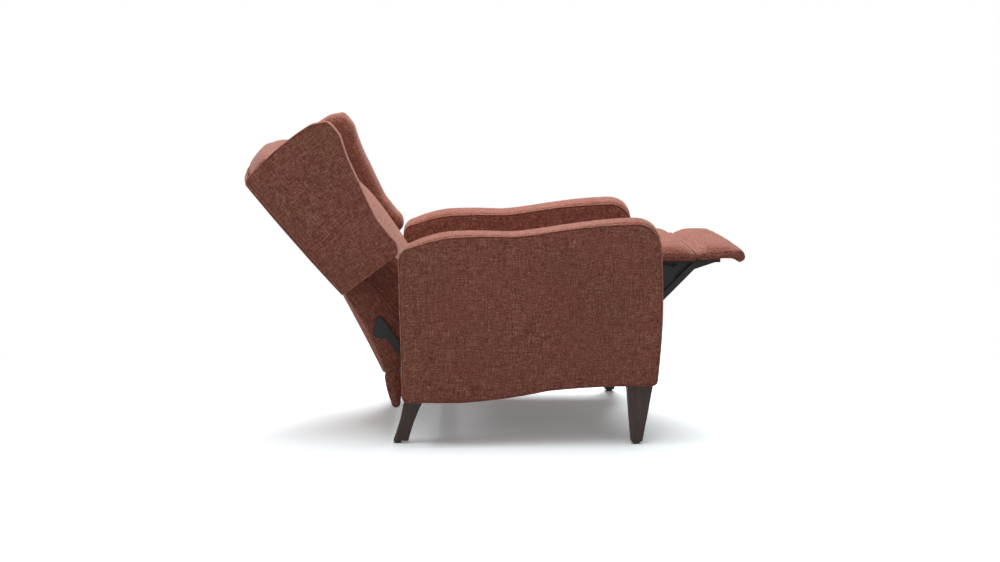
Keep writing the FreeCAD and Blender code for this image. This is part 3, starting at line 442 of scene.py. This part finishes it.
# %% Webbing
webbing_material, tree = new_material("jute_webbing")
where = add(tree, "ShaderNodeTexCoord")
weave = add(tree, "ShaderNodeTexWave", Scale=160.0, Distortion=1.5, Detail=2.0)
weave.wave_type = "BANDS"
weave.bands_direction = "Y"
edge = add(tree, "ShaderNodeTexWave", Scale=90.0, Distortion=0.8, Detail=2.0)
edge.wave_type = "BANDS"
edge.bands_direction = "X"
product = add(tree, "ShaderNodeMath", operation="MULTIPLY")
colours = add(tree, "ShaderNodeValToRGB")
colours.color_ramp.elements[0].color = (0.10, 0.085, 0.065, 1)
colours.color_ramp.elements[1].color = (0.34, 0.29, 0.22, 1)
bumps = add(tree, "ShaderNodeBump", Strength=0.6, Distance=0.0008)
surface = add(tree, "ShaderNodeBsdfPrincipled", Roughness=0.9)
out = add(tree, "ShaderNodeOutputMaterial")
tree.links.new(where.outputs["Object"], weave.inputs["Vector"])
tree.links.new(where.outputs["Object"], edge.inputs["Vector"])
tree.links.new(weave.outputs["Fac"], product.inputs[0])
tree.links.new(edge.outputs["Fac"], product.inputs[1])
tree.links.new(product.outputs[0], colours.inputs[0])
tree.links.new(product.outputs[0], bumps.inputs["Height"])
tree.links.new(colours.outputs[0], surface.inputs["Base Color"])
tree.links.new(bumps.outputs["Normal"], surface.inputs["Normal"])
tree.links.new(surface.outputs[0], out.inputs["Surface"])
print("materials", len(bpy.data.materials))

# %% [markdown]
# ## Bare parts keep their own meshes
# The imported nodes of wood, steel and plastic already have the right shape, so
# they only get a finish. Each name's first words say what it is made of.

# %% Finish of the frame's nodes
FINISHES = (
    (("arm_frame", "back_post", "back_rails", "seat_side_rail", "seat_cross"), frame_wood),
    (("footrest_board", "stretchers"), board_wood),
    (("front_leg", "rear_leg"), leg_wood),
    (("leg_glides",), black_plastic),
    (("seat_webbing",), webbing_material),
    (("leg_bolts", "base_rail_screws", "base_pivot", "seat_pivot"), bare_steel),
    (("back_arm_bolts", "drive_rivets", "bracket_rivets"), link_steel),
    (("base_rail", "seat_plate", "seat_mount", "footrest_bracket", "long_link"), black_steel),
    (("front_swing", "rear_swing", "recline_link", "back_arm", "drive_link", "control_link",
      "front_link", "torque_tube"), link_steel),
)


def finish_of(node):
    for starts, material in FINISHES:
        if node.startswith(starts):
            return material
    return body_tweed


for node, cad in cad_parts.items():
    cad.data.materials.clear()
    cad.data.materials.append(finish_of(node))

# %% [markdown]
# ## Ways of working
# Every operator acts on what is selected, so each step starts by deselecting
# everything. A flat-sided padded panel is made from its outline: a ring of
# points is laid on the outline, extruded ring by ring over the rounded edge,
# the sunk seam and the crowned band to the other side, and closed at both
# ends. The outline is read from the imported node, so the panel can't drift.

# %% Selecting and copying
def pick(obj):
    bpy.ops.object.select_all(action="DESELECT")
    obj.select_set(True)
    bpy.context.view_layer.objects.active = obj


def node_copy(node, name):
    """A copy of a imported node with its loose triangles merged, in its own mesh."""
    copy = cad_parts[node].copy()
    copy.data = copy.data.copy()
    copy.parent = None
    copy.name = name
    for key in list(copy.keys()):
        if key.startswith("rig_"):
            del copy[key]
    bpy.context.scene.collection.objects.link(copy)
    pick(copy)
    bpy.ops.object.mode_set(mode="EDIT")
    bpy.ops.mesh.select_all(action="SELECT")
    bpy.ops.mesh.remove_doubles(threshold=0.00001)
    bpy.ops.mesh.select_all(action="DESELECT")
    bpy.ops.object.mode_set(mode="OBJECT")
    return copy


def apply_modifiers(obj):
    pick(obj)
    for modifier in list(obj.modifiers):
        bpy.ops.object.modifier_apply(modifier=modifier.name)


def wear(obj, material):
    obj.data.materials.clear()
    obj.data.materials.append(material)


def count(obj):
    triangles = sum(len(face.vertices) - 2 for face in obj.data.polygons)
    print(obj.name, triangles, "triangles")


# %% Outline of a flat side
def area_of(loop):
    """Area inside a loop of (x, z) points, positive when it turns to the left."""
    ahead = np.roll(loop, -1, axis=0)
    return np.sum(loop[:, 0] * ahead[:, 1] - ahead[:, 0] * loop[:, 1]) / 2


def evened(ring, passes):
    """The ring with each value drawn to its neighbours, so that no corner folds over itself."""
    for _ in range(passes):
        ring = (np.roll(ring, 1, axis=0) + 2 * ring + np.roll(ring, -1, axis=0)) / 4
    return ring


def outline_of(node, y, spacing, soften):
    """Evenly spaced (x, z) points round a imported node's flat side at y, turning to the left."""
    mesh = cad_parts[node].data
    edges = {}
    for face in mesh.polygons:
        spots = [mesh.vertices[i].co for i in face.vertices]
        if all(abs(spot.y - y) < 1e-5 for spot in spots):
            keys = [(round(spot.x, 5), round(spot.z, 5)) for spot in spots]
            for start, finish in zip(keys, keys[1:] + keys[:1]):
                edges[(start, finish)] = True
    rim = {start: finish for start, finish in edges if (finish, start) not in edges}
    loops = []
    while rim:
        start = next(iter(rim))
        loop = []
        while start in rim:
            loop.append(start)
            start = rim.pop(start)
        loops.append(loop)
    loop = max((np.array(found) for found in loops), key=lambda found: abs(area_of(found)))
    if area_of(loop) < 0:
        loop = loop[::-1]
    steps = np.linalg.norm(np.roll(loop, -1, axis=0) - loop, axis=1)
    length = np.concatenate([[0], np.cumsum(steps)])
    total = max(24, int(round(length[-1] / spacing)))
    closed = np.vstack([loop, loop[:1]])
    wanted = np.arange(total) * length[-1] / total
    ring = np.stack([np.interp(wanted, length, closed[:, i]) for i in (0, 1)], axis=1)
    ring = evened(ring, soften)
    ahead = np.roll(ring, -1, axis=0) - np.roll(ring, 1, axis=0)
    ahead /= np.linalg.norm(ahead, axis=1)[:, None]
    outward = np.stack([ahead[:, 1], -ahead[:, 0]], axis=1)
    return ring, outward


# %% Ring by ring
def ring_by_ring(name, rows):
    """Extrudes a ring of points through the rows given, and closes both ends to a centre."""
    size = len(rows[0])
    bpy.ops.object.select_all(action="DESELECT")
    bpy.ops.mesh.primitive_circle_add(vertices=size, radius=0.1, fill_type="NOTHING")
    made = bpy.context.object
    made.name = name
    bpy.ops.object.mode_set(mode="EDIT")
    shape = bmesh.from_edit_mesh(made.data)
    for index, row in enumerate(rows):
        if index:
            bpy.ops.mesh.extrude_edges_move()
            shape = bmesh.from_edit_mesh(made.data)
        shape.verts.ensure_lookup_table()
        for vertex, place in zip(shape.verts[index * size:], row):
            vertex.co = place
    bmesh.update_edit_mesh(made.data)
    for end in (0, len(rows) - 1):
        bpy.ops.mesh.select_all(action="DESELECT")
        shape = bmesh.from_edit_mesh(made.data)
        shape.verts.ensure_lookup_table()
        for vertex in shape.verts[end * size:(end + 1) * size]:
            vertex.select = True
        shape.select_flush(True)
        bpy.ops.mesh.edge_face_add()
        bpy.ops.mesh.poke()
    bpy.ops.mesh.select_all(action="SELECT")
    bpy.ops.mesh.normals_make_consistent(inside=False)
    bpy.ops.mesh.select_all(action="DESELECT")
    bpy.ops.object.mode_set(mode="OBJECT")
    made.data.transform(made.matrix_world)
    made.matrix_world = Matrix.Identity(4)
    pick(made)
    bpy.ops.object.shade_smooth()
    return made


# %% Seam attribute
def paint_seam_shade_and_highlight(obj, values):
    """Keeps, for the tweed, each point's painted shade in a fold (to 1) or painted highlight on an
    edge (to -1).
    """
    stored = obj.data.attributes.get("seam_shade_and_highlight") or obj.data.attributes.new("seam_shade_and_highlight", "FLOAT", "POINT")
    stored.data.foreach_set("value", np.asarray(values, np.float32))


def uneven(obj, amount, size):
    """Moves each point along its normal by a smooth noise, as padding under cloth does."""
    normals = [vertex.normal.copy() for vertex in obj.data.vertices]
    for vertex, normal in zip(obj.data.vertices, normals):
        vertex.co += normal * amount * noise.noise(vertex.co * (1 / size))


# %% Boxed panel
FACE_SHARES = (0.93, 0.84, 0.72, 0.60, 0.48, 0.37, 0.27, 0.19, 0.13, 0.085, 0.05)
# Across a sewn edge, from the flat face to the band: how far out of the outline, how deep
# behind the face, how much painted shade is in the fold, and how much painted highlight
# is on the raised edge.
SEWN_EDGE = (
    (-0.0080, 0.0000, 0.0, 0.0), (-0.0048, 0.0002, 0.0, 0.1), (-0.0032, 0.0008, 0.1, 0.1),
    (-0.0025, 0.0018, 0.8, 0.0), (-0.0020, 0.0024, 1.0, 0.0), (-0.0013, 0.0018, 0.8, 0.0),
    (-0.0006, 0.0009, 0.1, 0.6), (0.0006, 0.0005, 0.0, 1.0), (0.0017, 0.0010, 0.0, 1.0),
    (0.0024, 0.0022, 0.0, 0.5), (0.0027, 0.0042, 0.0, 0.0),
)
# The painted shade in the outer seam's fold is this share of the inner seam's.
OUTER_FOLD = 0.55
FACE_INSET = 0.012
BAND_MARGIN = 0.007
BAND_STEPS = 17
ROLLED_FROM = 0.006


def seam_shade_and_highlight_shares(outward):
    """Painted shade for a seam's fold and painted highlight for its edge, by the way that the
    outline faces.
    """
    up = outward[:, 1]
    side = np.abs(outward[:, 0])
    dark = np.interp(up, (-0.4, 0.0, 0.6), (0.0, 0.35, 0.8))
    pale = np.interp(side, (0.5, 0.9), (0.08, 0.45)) * (up > -0.5)
    return dark, pale


def boxed(name, node, side, depth, ring_spacing=0.006, soften=3, crown=None, proud=1.0,
          puff=(0.003, 0.003), rolled=None, roll_from=0.30, lean=0.0):
    """A panel with two flat faces and a band between them, sewn in a sunk seam.

    side is the y of the outer face, depth the way to the inner face, signed. crown(points,
    outward) gives how far the band's middle stands out. proud scales how far the seam's edges
    stand out. rolled(points, outward) gives how far the inner face draws in: there the cloth
    runs over the edge in one round roll, with no seam. puff is how far each face swells, and
    lean how much lower the band's top is sewn to the inner face.
    """
    ring, outward = outline_of(node, side, ring_spacing, soften)
    rise = crown(ring, outward) if crown else np.zeros(len(ring))
    draw = rolled(ring, outward) if rolled else np.zeros(len(ring))
    lower = lean * evened(np.clip(outward[:, 1], 0, 1), 4)
    sewn = 1 - np.clip(draw / ROLLED_FROM, 0, 1)
    middle = ring.mean(axis=0)
    inward = 1 if depth > 0 else -1
    wide = abs(depth)
    rows, seam_shading_values = [], []
    dark, pale = seam_shade_and_highlight_shares(outward)

    def put(off, t, toward=0.0, seam_shade_and_highlight=0.0):
        base = ring + outward * np.broadcast_to(off, len(ring))[:, None]
        base = evened(base, int(max(0.0, -np.min(off) - 0.002) / 0.0009))
        place = base * (1 - toward) + middle * toward
        heights = side + inward * np.broadcast_to(t, len(ring))
        rows.append([Vector((x, y, z)) for (x, z), y in zip(place, heights)])
        seam_shading_values.extend(np.broadcast_to(seam_shade_and_highlight, len(ring)))

    def roll_angle(t):
        """How far round the roll, a quarter of an ellipse, the band is at depth t."""
        return math.asin(min(1.0, max(0.0, (t / wide - roll_from) / (1 - roll_from))))

    for share in FACE_SHARES:
        put(-FACE_INSET, -puff[0] * (1 - (1 - share) ** 3), share)
    # Each sewn row keeps painted shade for the fold, less painted highlight for the raised edge.
    for off, t, fold, edge in SEWN_EDGE:
        put(off * proud, t, 0, fold * dark * OUTER_FOLD - edge * pale)
    lip = SEWN_EDGE[-1][0] * proud
    for index in range(BAND_STEPS):
        share = 0.5 - 0.5 * math.cos(math.pi * (index + 0.5) / BAND_STEPS)
        t = BAND_MARGIN + (wide - 2 * BAND_MARGIN) * share
        v = t / wide
        put(lip + rise * (4 * v * (1 - v)) ** 0.6 - draw * (1 - math.cos(roll_angle(t)))
            - lower * max(0.0, 2 * v - 1) ** 2, t)
    start = roll_angle(wide - 0.0065)
    # The inner seam gets the same painted shade and highlight, fading out where the edge rolls.
    for index, (off, t, fold, edge) in enumerate(reversed(SEWN_EDGE)):
        angle = start + (math.pi / 2 - start) * (index + 1) / len(SEWN_EDGE)
        round_off = lip * math.cos(angle) - draw * (1 - math.cos(angle))
        round_t = wide * (roll_from + (1 - roll_from) * math.sin(angle))
        put(off * proud * sewn + round_off * (1 - sewn) - lower,
            (wide - t) * sewn + round_t * (1 - sewn), 0, (fold * dark - edge * pale) * sewn)
    for share in reversed(FACE_SHARES):
        put(-FACE_INSET - draw - lower, wide + puff[1] * (1 - (1 - share) ** 3), share)
    made = ring_by_ring(name, rows)
    seam_shading_values.extend([0.0] * (len(made.data.vertices) - len(seam_shading_values)))
    paint_seam_shade_and_highlight(made, seam_shading_values)
    return made


# %% The other side of the chair
def other_side(obj, name):
    """The mirror image of a piece across the chair's middle, with its faces turned right again."""
    twin = obj.copy()
    twin.data = obj.data.copy()
    twin.name = name
    bpy.context.scene.collection.objects.link(twin)
    twin.data.transform(Matrix.Scale(-1, 4, (0, 1, 0)))
    pick(twin)
    bpy.ops.object.mode_set(mode="EDIT")
    bpy.ops.mesh.select_all(action="SELECT")
    bpy.ops.mesh.normals_make_consistent(inside=False)
    bpy.ops.mesh.select_all(action="DESELECT")
    bpy.ops.object.mode_set(mode="OBJECT")
    return twin


# %% Welt cord
def welt(name, points, radius, closed=True):
    """A thin covered cord along points, sewn into a seam."""
    line = bpy.data.curves.new(name, "CURVE")
    line.dimensions = "3D"
    line.bevel_depth = radius
    line.bevel_resolution = 2
    line.use_fill_caps = True
    spline = line.splines.new("POLY")
    spline.points.add(len(points) - 1)
    for spot, place in zip(spline.points, points):
        spot.co = (*place, 1)
    spline.use_cyclic_u = closed
    cord = bpy.data.objects.new(name, line)
    bpy.context.scene.collection.objects.link(cord)
    pick(cord)
    bpy.ops.object.convert(target="MESH")
    cord = bpy.context.object
    bpy.ops.object.shade_smooth()
    # The cord wears the tweed painted lighter, a painted highlight.
    wear(cord, welt_tweed_painted_lighter)
    return cord


# %% [markdown]
# ## Arms
# Each arm is a padded box: a flat panel outside, another inside, and a band
# between them that runs up the front, back over the top and down the rear.
# The band is crowned over its padding and is sewn to the panels in a thin
# sunk seam. It could be a bevelled slab, but the crown and the seam are what
# the light finds, so the ring by ring way is used, and the crown follows the
# packed arm: up to 12.5 mm on top, 4.5 mm at the front and none below.

# %% Arms
CROWN_X = (-0.262, -0.242, -0.214, -0.160, -0.112, -0.050, 0.017, 0.150, 0.230, 0.300, 0.360,
           0.433)
CROWN_RISE = (0.0010, 0.0050, 0.0080, 0.0100, 0.0105, 0.0095, 0.0078, 0.0066, 0.0066, 0.0090,
              0.0112, 0.0125)
FRONT_CROWN = 0.0045
ARM_LEAN = 0.006


def arm_crown(ring, outward):
    up = np.clip(outward[:, 1] * 1.3, 0, 1) * np.interp(ring[:, 0], CROWN_X, CROWN_RISE)
    front = np.clip(outward[:, 0] * 1.2, 0, 1) * (ring[:, 0] > 0.2)
    return np.maximum(up, front * FRONT_CROWN)


low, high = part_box("arm_right")
arm_right = boxed("arm_right_cover", "arm_right", low.y, high.y - low.y, crown=arm_crown,
                  lean=ARM_LEAN)
uneven(arm_right, 0.0012, 0.16)
wear(arm_right, body_tweed)
arm_left = other_side(arm_right, "arm_left_cover")
for piece, node in ((arm_right, "arm_right"), (arm_left, "arm_left")):
    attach(piece, "base")
    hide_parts(node)
    count(piece)

# %% [markdown]
# ## Wings
# A wing is a thick padded side of the back. Its outer panel is flat, with a
# welt cord along its edge that catches the light and is painted lighter as a
# highlight, and its front edge is a broad soft roll. It is the arm's way
# again, with the faces drawn in towards the front so that the band turns into
# the roll, and the inner face swollen only in front of the back cushion,
# which it touches.

# %% Wings
N_WAY = Vector((math.cos(RAKE), 0, math.sin(RAKE)))
S_WAY = Vector((-math.sin(RAKE), 0, math.cos(RAKE)))
WING_CROWN, WING_CROWN_AHEAD = 0.0006, 0.0012
ROLL_DEPTH = 0.027
WELT_RADIUS = 0.0019


def back_numbers(points):
    """How far in front of the back's own plane, and how far up it, each (x, z) reaches."""
    n = points[:, 0] * N_WAY.x + points[:, 1] * N_WAY.z
    s = points[:, 0] * S_WAY.x + points[:, 1] * S_WAY.z
    return n, s


def wing_crown(ring, outward):
    """The band stands out least along the rear edge."""
    ahead = back_numbers(outward)[0]
    return WING_CROWN + WING_CROWN_AHEAD * np.clip(ahead, 0, 1)


def wing_roll(ring, outward):
    """The inner face rolls away along the front edge and the front half of the top."""
    ahead, up = back_numbers(outward)
    n, s = back_numbers(ring)
    start = np.clip((n - 0.03) / 0.13, 0, 1)
    low_end = np.clip((s - 0.60) / 0.10, 0, 1)
    amount = np.clip(np.maximum(ahead, up) * 1.3, 0, 1) * start * start * (3 - 2 * start)
    amount = amount * (0.45 + 0.55 * low_end)
    return ROLL_DEPTH * evened(amount, 6)


low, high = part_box("wing_right")
wing_right = boxed("wing_right_cover", "wing_right", low.y, high.y - low.y, soften=1,
                   crown=wing_crown, rolled=wing_roll, puff=(0.0035, 0.0), proud=0.8)
uneven(wing_right, 0.0010, 0.15)
wear(wing_right, back_tweed)
wing_left = other_side(wing_right, "wing_left_cover")
ring, outward = outline_of("wing_right", low.y, 0.006, 1)
path_points = [Vector((x, low.y + 0.0012, z)) for x, z in ring - outward * 0.0008]
welt_right = welt("wing_right_welt", path_points, WELT_RADIUS)
welt_left = other_side(welt_right, "wing_left_welt")
for piece, node in ((wing_right, "wing_right"), (wing_left, "wing_left")):
    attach(piece, "back")
    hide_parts(node)
    count(piece)
for piece in (welt_right, welt_left):
    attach(piece, "back")

# %% [markdown]
# ## Stuffed cushions
# The seat, the inside back and the two pads of the footrest are stuffed, and
# cloth under pressure is what gives them their shape. Each starts from the
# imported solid, a little smaller, remeshed to even squares. The Cloth
# modifier then blows it up while the points that lie on the frame are held.
# No point may move further than its padding allows. The seat's seams are
# pressed in afterwards, because the remesh would wipe them out.

# %% Blowing up a cushion
PRESSURE = 4.0
CLOTH_FRAMES = 20


def stuff(obj, voxel, held, shrink, cap, rounds=4):
    """Remeshes, swells and smooths a closed shape.

    held(co, normal) says what can't move, shrink how much smaller the shape is made first,
    cap how far a point may move, and rounds how often the edges are eased first.
    """
    pick(obj)
    remesh = obj.modifiers.new("even_squares", "REMESH")
    remesh.mode = "VOXEL"
    remesh.voxel_size = voxel
    apply_modifiers(obj)
    mesh = obj.data
    normals = [vertex.normal.copy() for vertex in mesh.vertices]
    fixed = [i for i, vertex in enumerate(mesh.vertices) if held(vertex.co, normals[i])]
    free = set(range(len(mesh.vertices))) - set(fixed)
    for i in free:
        mesh.vertices[i].co -= normals[i] * shrink
    ease = obj.modifiers.new("ease", "SMOOTH")
    ease.factor = 0.5
    ease.iterations = rounds
    apply_modifiers(obj)
    before = np.array([vertex.co for vertex in mesh.vertices])
    outward = np.array([vertex.normal for vertex in mesh.vertices])
    group = obj.vertex_groups.new(name="held")
    group.add(fixed, 1.0, "REPLACE")
    cloth = obj.modifiers.new("pressure", "CLOTH")
    cloth.settings.quality = 5
    cloth.settings.mass = 0.3
    cloth.settings.tension_stiffness = 15
    cloth.settings.compression_stiffness = 15
    cloth.settings.shear_stiffness = 5
    cloth.settings.bending_stiffness = 0.5
    cloth.settings.use_pressure = True
    cloth.settings.uniform_pressure_force = PRESSURE
    cloth.settings.vertex_group_mass = "held"
    cloth.settings.effector_weights.gravity = 0
    cloth.collision_settings.use_self_collision = False
    scene = bpy.context.scene
    for number in range(1, CLOTH_FRAMES + 1):
        scene.frame_set(number)
    blown = obj.evaluated_get(bpy.context.evaluated_depsgraph_get()).data
    after = np.array([vertex.co for vertex in blown.vertices])
    obj.modifiers.clear()
    scene.frame_set(1)
    moved = after - before
    # Stuffing stops the cloth from sinking in.
    moved -= outward * np.minimum(0, (moved * outward).sum(axis=1))[:, None]
    far = np.linalg.norm(moved, axis=1)
    print(obj.name, "swelled by up to", round(float(far.max()), 4), "before the cap")
    moved *= np.minimum(1, cap / np.maximum(far, 1e-9))[:, None]
    for vertex, place in zip(mesh.vertices, before + moved):
        vertex.co = place
    obj.vertex_groups.clear()
    pick(obj)
    finer = obj.modifiers.new("finer", "SUBSURF")
    finer.levels = finer.render_levels = 1
    apply_modifiers(obj)
    bpy.ops.object.shade_smooth()


SEAM_WIDTH, SEAM_DEPTH = 0.0035, 0.0028
DIP_WIDTH, DIP_DEPTH = 0.013, 0.0022


def press(obj, lines):
    """Presses seams in and paints shade into them. lines(co, normal) gives the distance to the
    nearest seam, or None.
    """
    mesh = obj.data
    normals = [vertex.normal.copy() for vertex in mesh.vertices]
    seam_shading_values = []
    for vertex, normal in zip(mesh.vertices, normals):
        away = lines(vertex.co, normal)
        near = 0.0 if away is None else math.exp(-(away / SEAM_WIDTH) ** 2)
        wide = 0.0 if away is None else math.exp(-(away / DIP_WIDTH) ** 2)
        vertex.co -= normal * (SEAM_DEPTH * near + DIP_DEPTH * wide)
        # Painted shade, strongest on the seam's line.
        seam_shading_values.append(near)
    paint_seam_shade_and_highlight(obj, seam_shading_values)


# %% Seat cushion
SEAM_INSET = 0.020
low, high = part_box("seat_cushion")
seat_cushion = node_copy("seat_cushion", "seat_cushion_cover")
seat_floor = low.z
stuff(seat_cushion, 0.0065, lambda co, normal: co.z < seat_floor + 0.012, 0.010, 0.022)
seat_edge = high.y - SEAM_INSET


def seat_seams(co, normal):
    """The seams run along both sides of the cushion's top."""
    if co.z < seat_floor + 0.03:
        return None
    return abs(abs(co.y) - seat_edge) if normal.z > 0.15 else 1.0


press(seat_cushion, seat_seams)
uneven(seat_cushion, 0.0016, 0.12)
wear(seat_cushion, body_tweed)
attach(seat_cushion, "seat")
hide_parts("seat_cushion")
count(seat_cushion)

# %% Back cushion
back_cushion = node_copy("back_cushion", "back_cushion_cover")


def back_held(co, normal):
    """What stays in place: the rear, and the face of the lower end."""
    ahead = co.dot(N_WAY)
    return ahead < 0.040 or (normal.dot(S_WAY) < -0.7 and co.dot(S_WAY) < 0.48)


stuff(back_cushion, 0.0075, back_held, 0.007, 0.019)
paint_seam_shade_and_highlight(back_cushion, [0.0] * len(back_cushion.data.vertices))
uneven(back_cushion, 0.0018, 0.13)
wear(back_cushion, back_tweed)
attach(back_cushion, "back")
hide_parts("back_cushion")
count(back_cushion)

# %% [markdown]
# ## Footrest pads
# The calf pad and the foot pad are sewn to each other and pulled over the
# board. They are thin, so they swell less, and their ends stay on the board,
# where the stuffing thins out in a round shoulder.

# %% Footrest pads
SHOULDER_WIDTH = 0.045
SHOULDER_DROP = 0.75
PAD_VOXEL, PAD_SHRINK = 0.005, 0.003
board_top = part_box("footrest_board")[1].z


def pad_held(co, normal):
    return co.z < board_top + 0.006


calf_pad = node_copy("calf_pad", "calf_pad_cover")
stuff(calf_pad, PAD_VOXEL, pad_held, PAD_SHRINK, 0.005, 8)
foot_pad = node_copy("foot_pad", "foot_pad_cover")
stuff(foot_pad, PAD_VOXEL, pad_held, PAD_SHRINK, 0.004, 6)


def shoulders(obj, half):
    """Lets a pad's top fall away in a round shoulder at both ends, but less at the nose."""
    nose_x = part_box("foot_pad")[1].x
    for vertex in obj.data.vertices:
        along = min(1.0, max(0.0, (abs(vertex.co.y) - half + SHOULDER_WIDTH) / SHOULDER_WIDTH))
        drop = SHOULDER_DROP * np.interp(nose_x - vertex.co.x, (0.02, 0.10), (0.3, 1.0))
        fall = 1 - math.sqrt(1 - along * along)
        vertex.co.z -= drop * max(0.0, vertex.co.z - board_top) * fall


for piece, node in ((calf_pad, "calf_pad"), (foot_pad, "foot_pad")):
    shoulders(piece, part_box(node)[1].y)
    paint_seam_shade_and_highlight(piece, [0.0] * len(piece.data.vertices))
    uneven(piece, 0.0010, 0.09)
    wear(piece, body_tweed)
    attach(piece, "footrest")
    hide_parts(node)
    count(piece)

# %% Cord between the pads
CORD_RADIUS = 0.0036
seam_x = (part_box("calf_pad")[1].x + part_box("foot_pad")[0].x) / 2
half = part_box("calf_pad")[1].y - 0.004
spots = np.array([vertex.co for piece in (calf_pad, foot_pad) for vertex in piece.data.vertices])
spots = spots[np.abs(spots[:, 0] - seam_x) < 0.006]
across = np.linspace(-half, half, 91)
valley = np.array([spots[np.abs(spots[:, 1] - y) < 0.012][:, 2].max() for y in across])
for _ in range(4):
    valley[1:-1] = (valley[:-2] + 2 * valley[1:-1] + valley[2:]) / 4
down = np.linspace(board_top + 0.002, valley[0] - 0.003, 6)
route = [(seam_x, -half - 0.003, z) for z in down]
route += [(seam_x, y, z) for y, z in zip(across, valley)]
route += [(seam_x, half + 0.003, z) for z in down[::-1]]
pad_cord = welt("pad_cord", [Vector(spot) for spot in route], CORD_RADIUS, closed=False)
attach(pad_cord, "footrest")

# %% [markdown]
# ## Outside back and the lower back
# The outside back is one tight panel of tweed over a bowed board. Below it
# the frame narrows to pass between the arms: two side panels with a thin
# cord along their front edge, a bowed rear panel and a padded bottom rail.

# %% Rear panels
PANEL_VOXEL = 0.0035
SIDE_CORD_RADIUS, SIDE_CORD_PROUD = 0.0015, 0.0012


def rear_panel(node, name):
    """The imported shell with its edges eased."""
    panel = node_copy(node, name)
    remesh = panel.modifiers.new("even_squares", "REMESH")
    remesh.mode = "VOXEL"
    remesh.voxel_size = PANEL_VOXEL
    ease = panel.modifiers.new("ease", "SMOOTH")
    ease.factor = 0.5
    ease.iterations = 5
    apply_modifiers(panel)
    bpy.ops.object.shade_smooth()
    uneven(panel, 0.0010, 0.14)
    paint_seam_shade_and_highlight(panel, [0.0] * len(panel.data.vertices))
    return panel


outside_back = rear_panel("outside_back", "outside_back_cover")
lower_outside_back = rear_panel("lower_outside_back", "lower_outside_back_cover")
low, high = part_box("bottom_rail_cover")
bottom_rail = boxed("bottom_rail_padding", "bottom_rail_cover", low.y, high.y - low.y,
                    ring_spacing=0.004, soften=2, puff=(0.001, 0.001), proud=0.5)
uneven(bottom_rail, 0.0012, 0.07)
low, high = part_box("lower_side_panel_right")
side_right = boxed("lower_side_cover_right", "lower_side_panel_right", low.y, high.y - low.y,
                   ring_spacing=0.005, soften=2, puff=(0.0005, 0.0), proud=0.4)
side_left = other_side(side_right, "lower_side_cover_left")
ring, outward = outline_of("lower_side_panel_right", low.y, 0.005, 2)
ahead = back_numbers(outward)[0]
front_edge = (ring + outward * SIDE_CORD_PROUD)[ahead > 0.8]
edge_points = sorted(([*spot] for spot in front_edge), key=lambda spot: spot[1])
cord_right = welt("lower_side_cord_right", [Vector((x, low.y, z)) for x, z in edge_points],
                  SIDE_CORD_RADIUS, closed=False)
cord_left = other_side(cord_right, "lower_side_cord_left")
for piece in (cord_right, cord_left):
    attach(piece, "back")
for piece, node in ((outside_back, "outside_back"), (lower_outside_back, "lower_outside_back"),
                    (bottom_rail, "bottom_rail_cover"), (side_right, "lower_side_panel_right"),
                    (side_left, "lower_side_panel_left")):
    wear(piece, back_tweed)
    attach(piece, "back")
    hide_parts(node)
    count(piece)

# %% [markdown]
# ## Legs
# The legs are tapered blocks of stained wood with eased edges. The packed
# legs have sharp edges, so each is copied and its edges are bevelled.

# %% Legs
LEG_BEVEL = 0.0028
for node in ("front_leg_right", "front_leg_left", "rear_leg_right", "rear_leg_left"):
    leg = node_copy(node, node + "_turned")
    pick(leg)
    bpy.ops.object.mode_set(mode="EDIT")
    bpy.ops.mesh.select_all(action="SELECT")
    bpy.ops.mesh.dissolve_limited(angle_limit=math.radians(1))
    bpy.ops.mesh.select_all(action="DESELECT")
    bpy.ops.object.mode_set(mode="OBJECT")
    bevel = leg.modifiers.new("eased", "BEVEL")
    bevel.width = LEG_BEVEL
    bevel.segments = 3
    bevel.limit_method = "ANGLE"
    bevel.angle_limit = math.radians(35)
    apply_modifiers(leg)
    bpy.ops.object.shade_smooth_by_angle(angle=math.radians(40))
    wear(leg, leg_wood)
    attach(leg, "base")
    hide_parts(node)
    count(leg)

# %% [markdown]
# ## Sizes
# The dressed chair has to stay the imported chair's size, so its box is printed.

# %% Sizes and finish
low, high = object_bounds()
print("dressed from", tuple(low), "to", tuple(high))
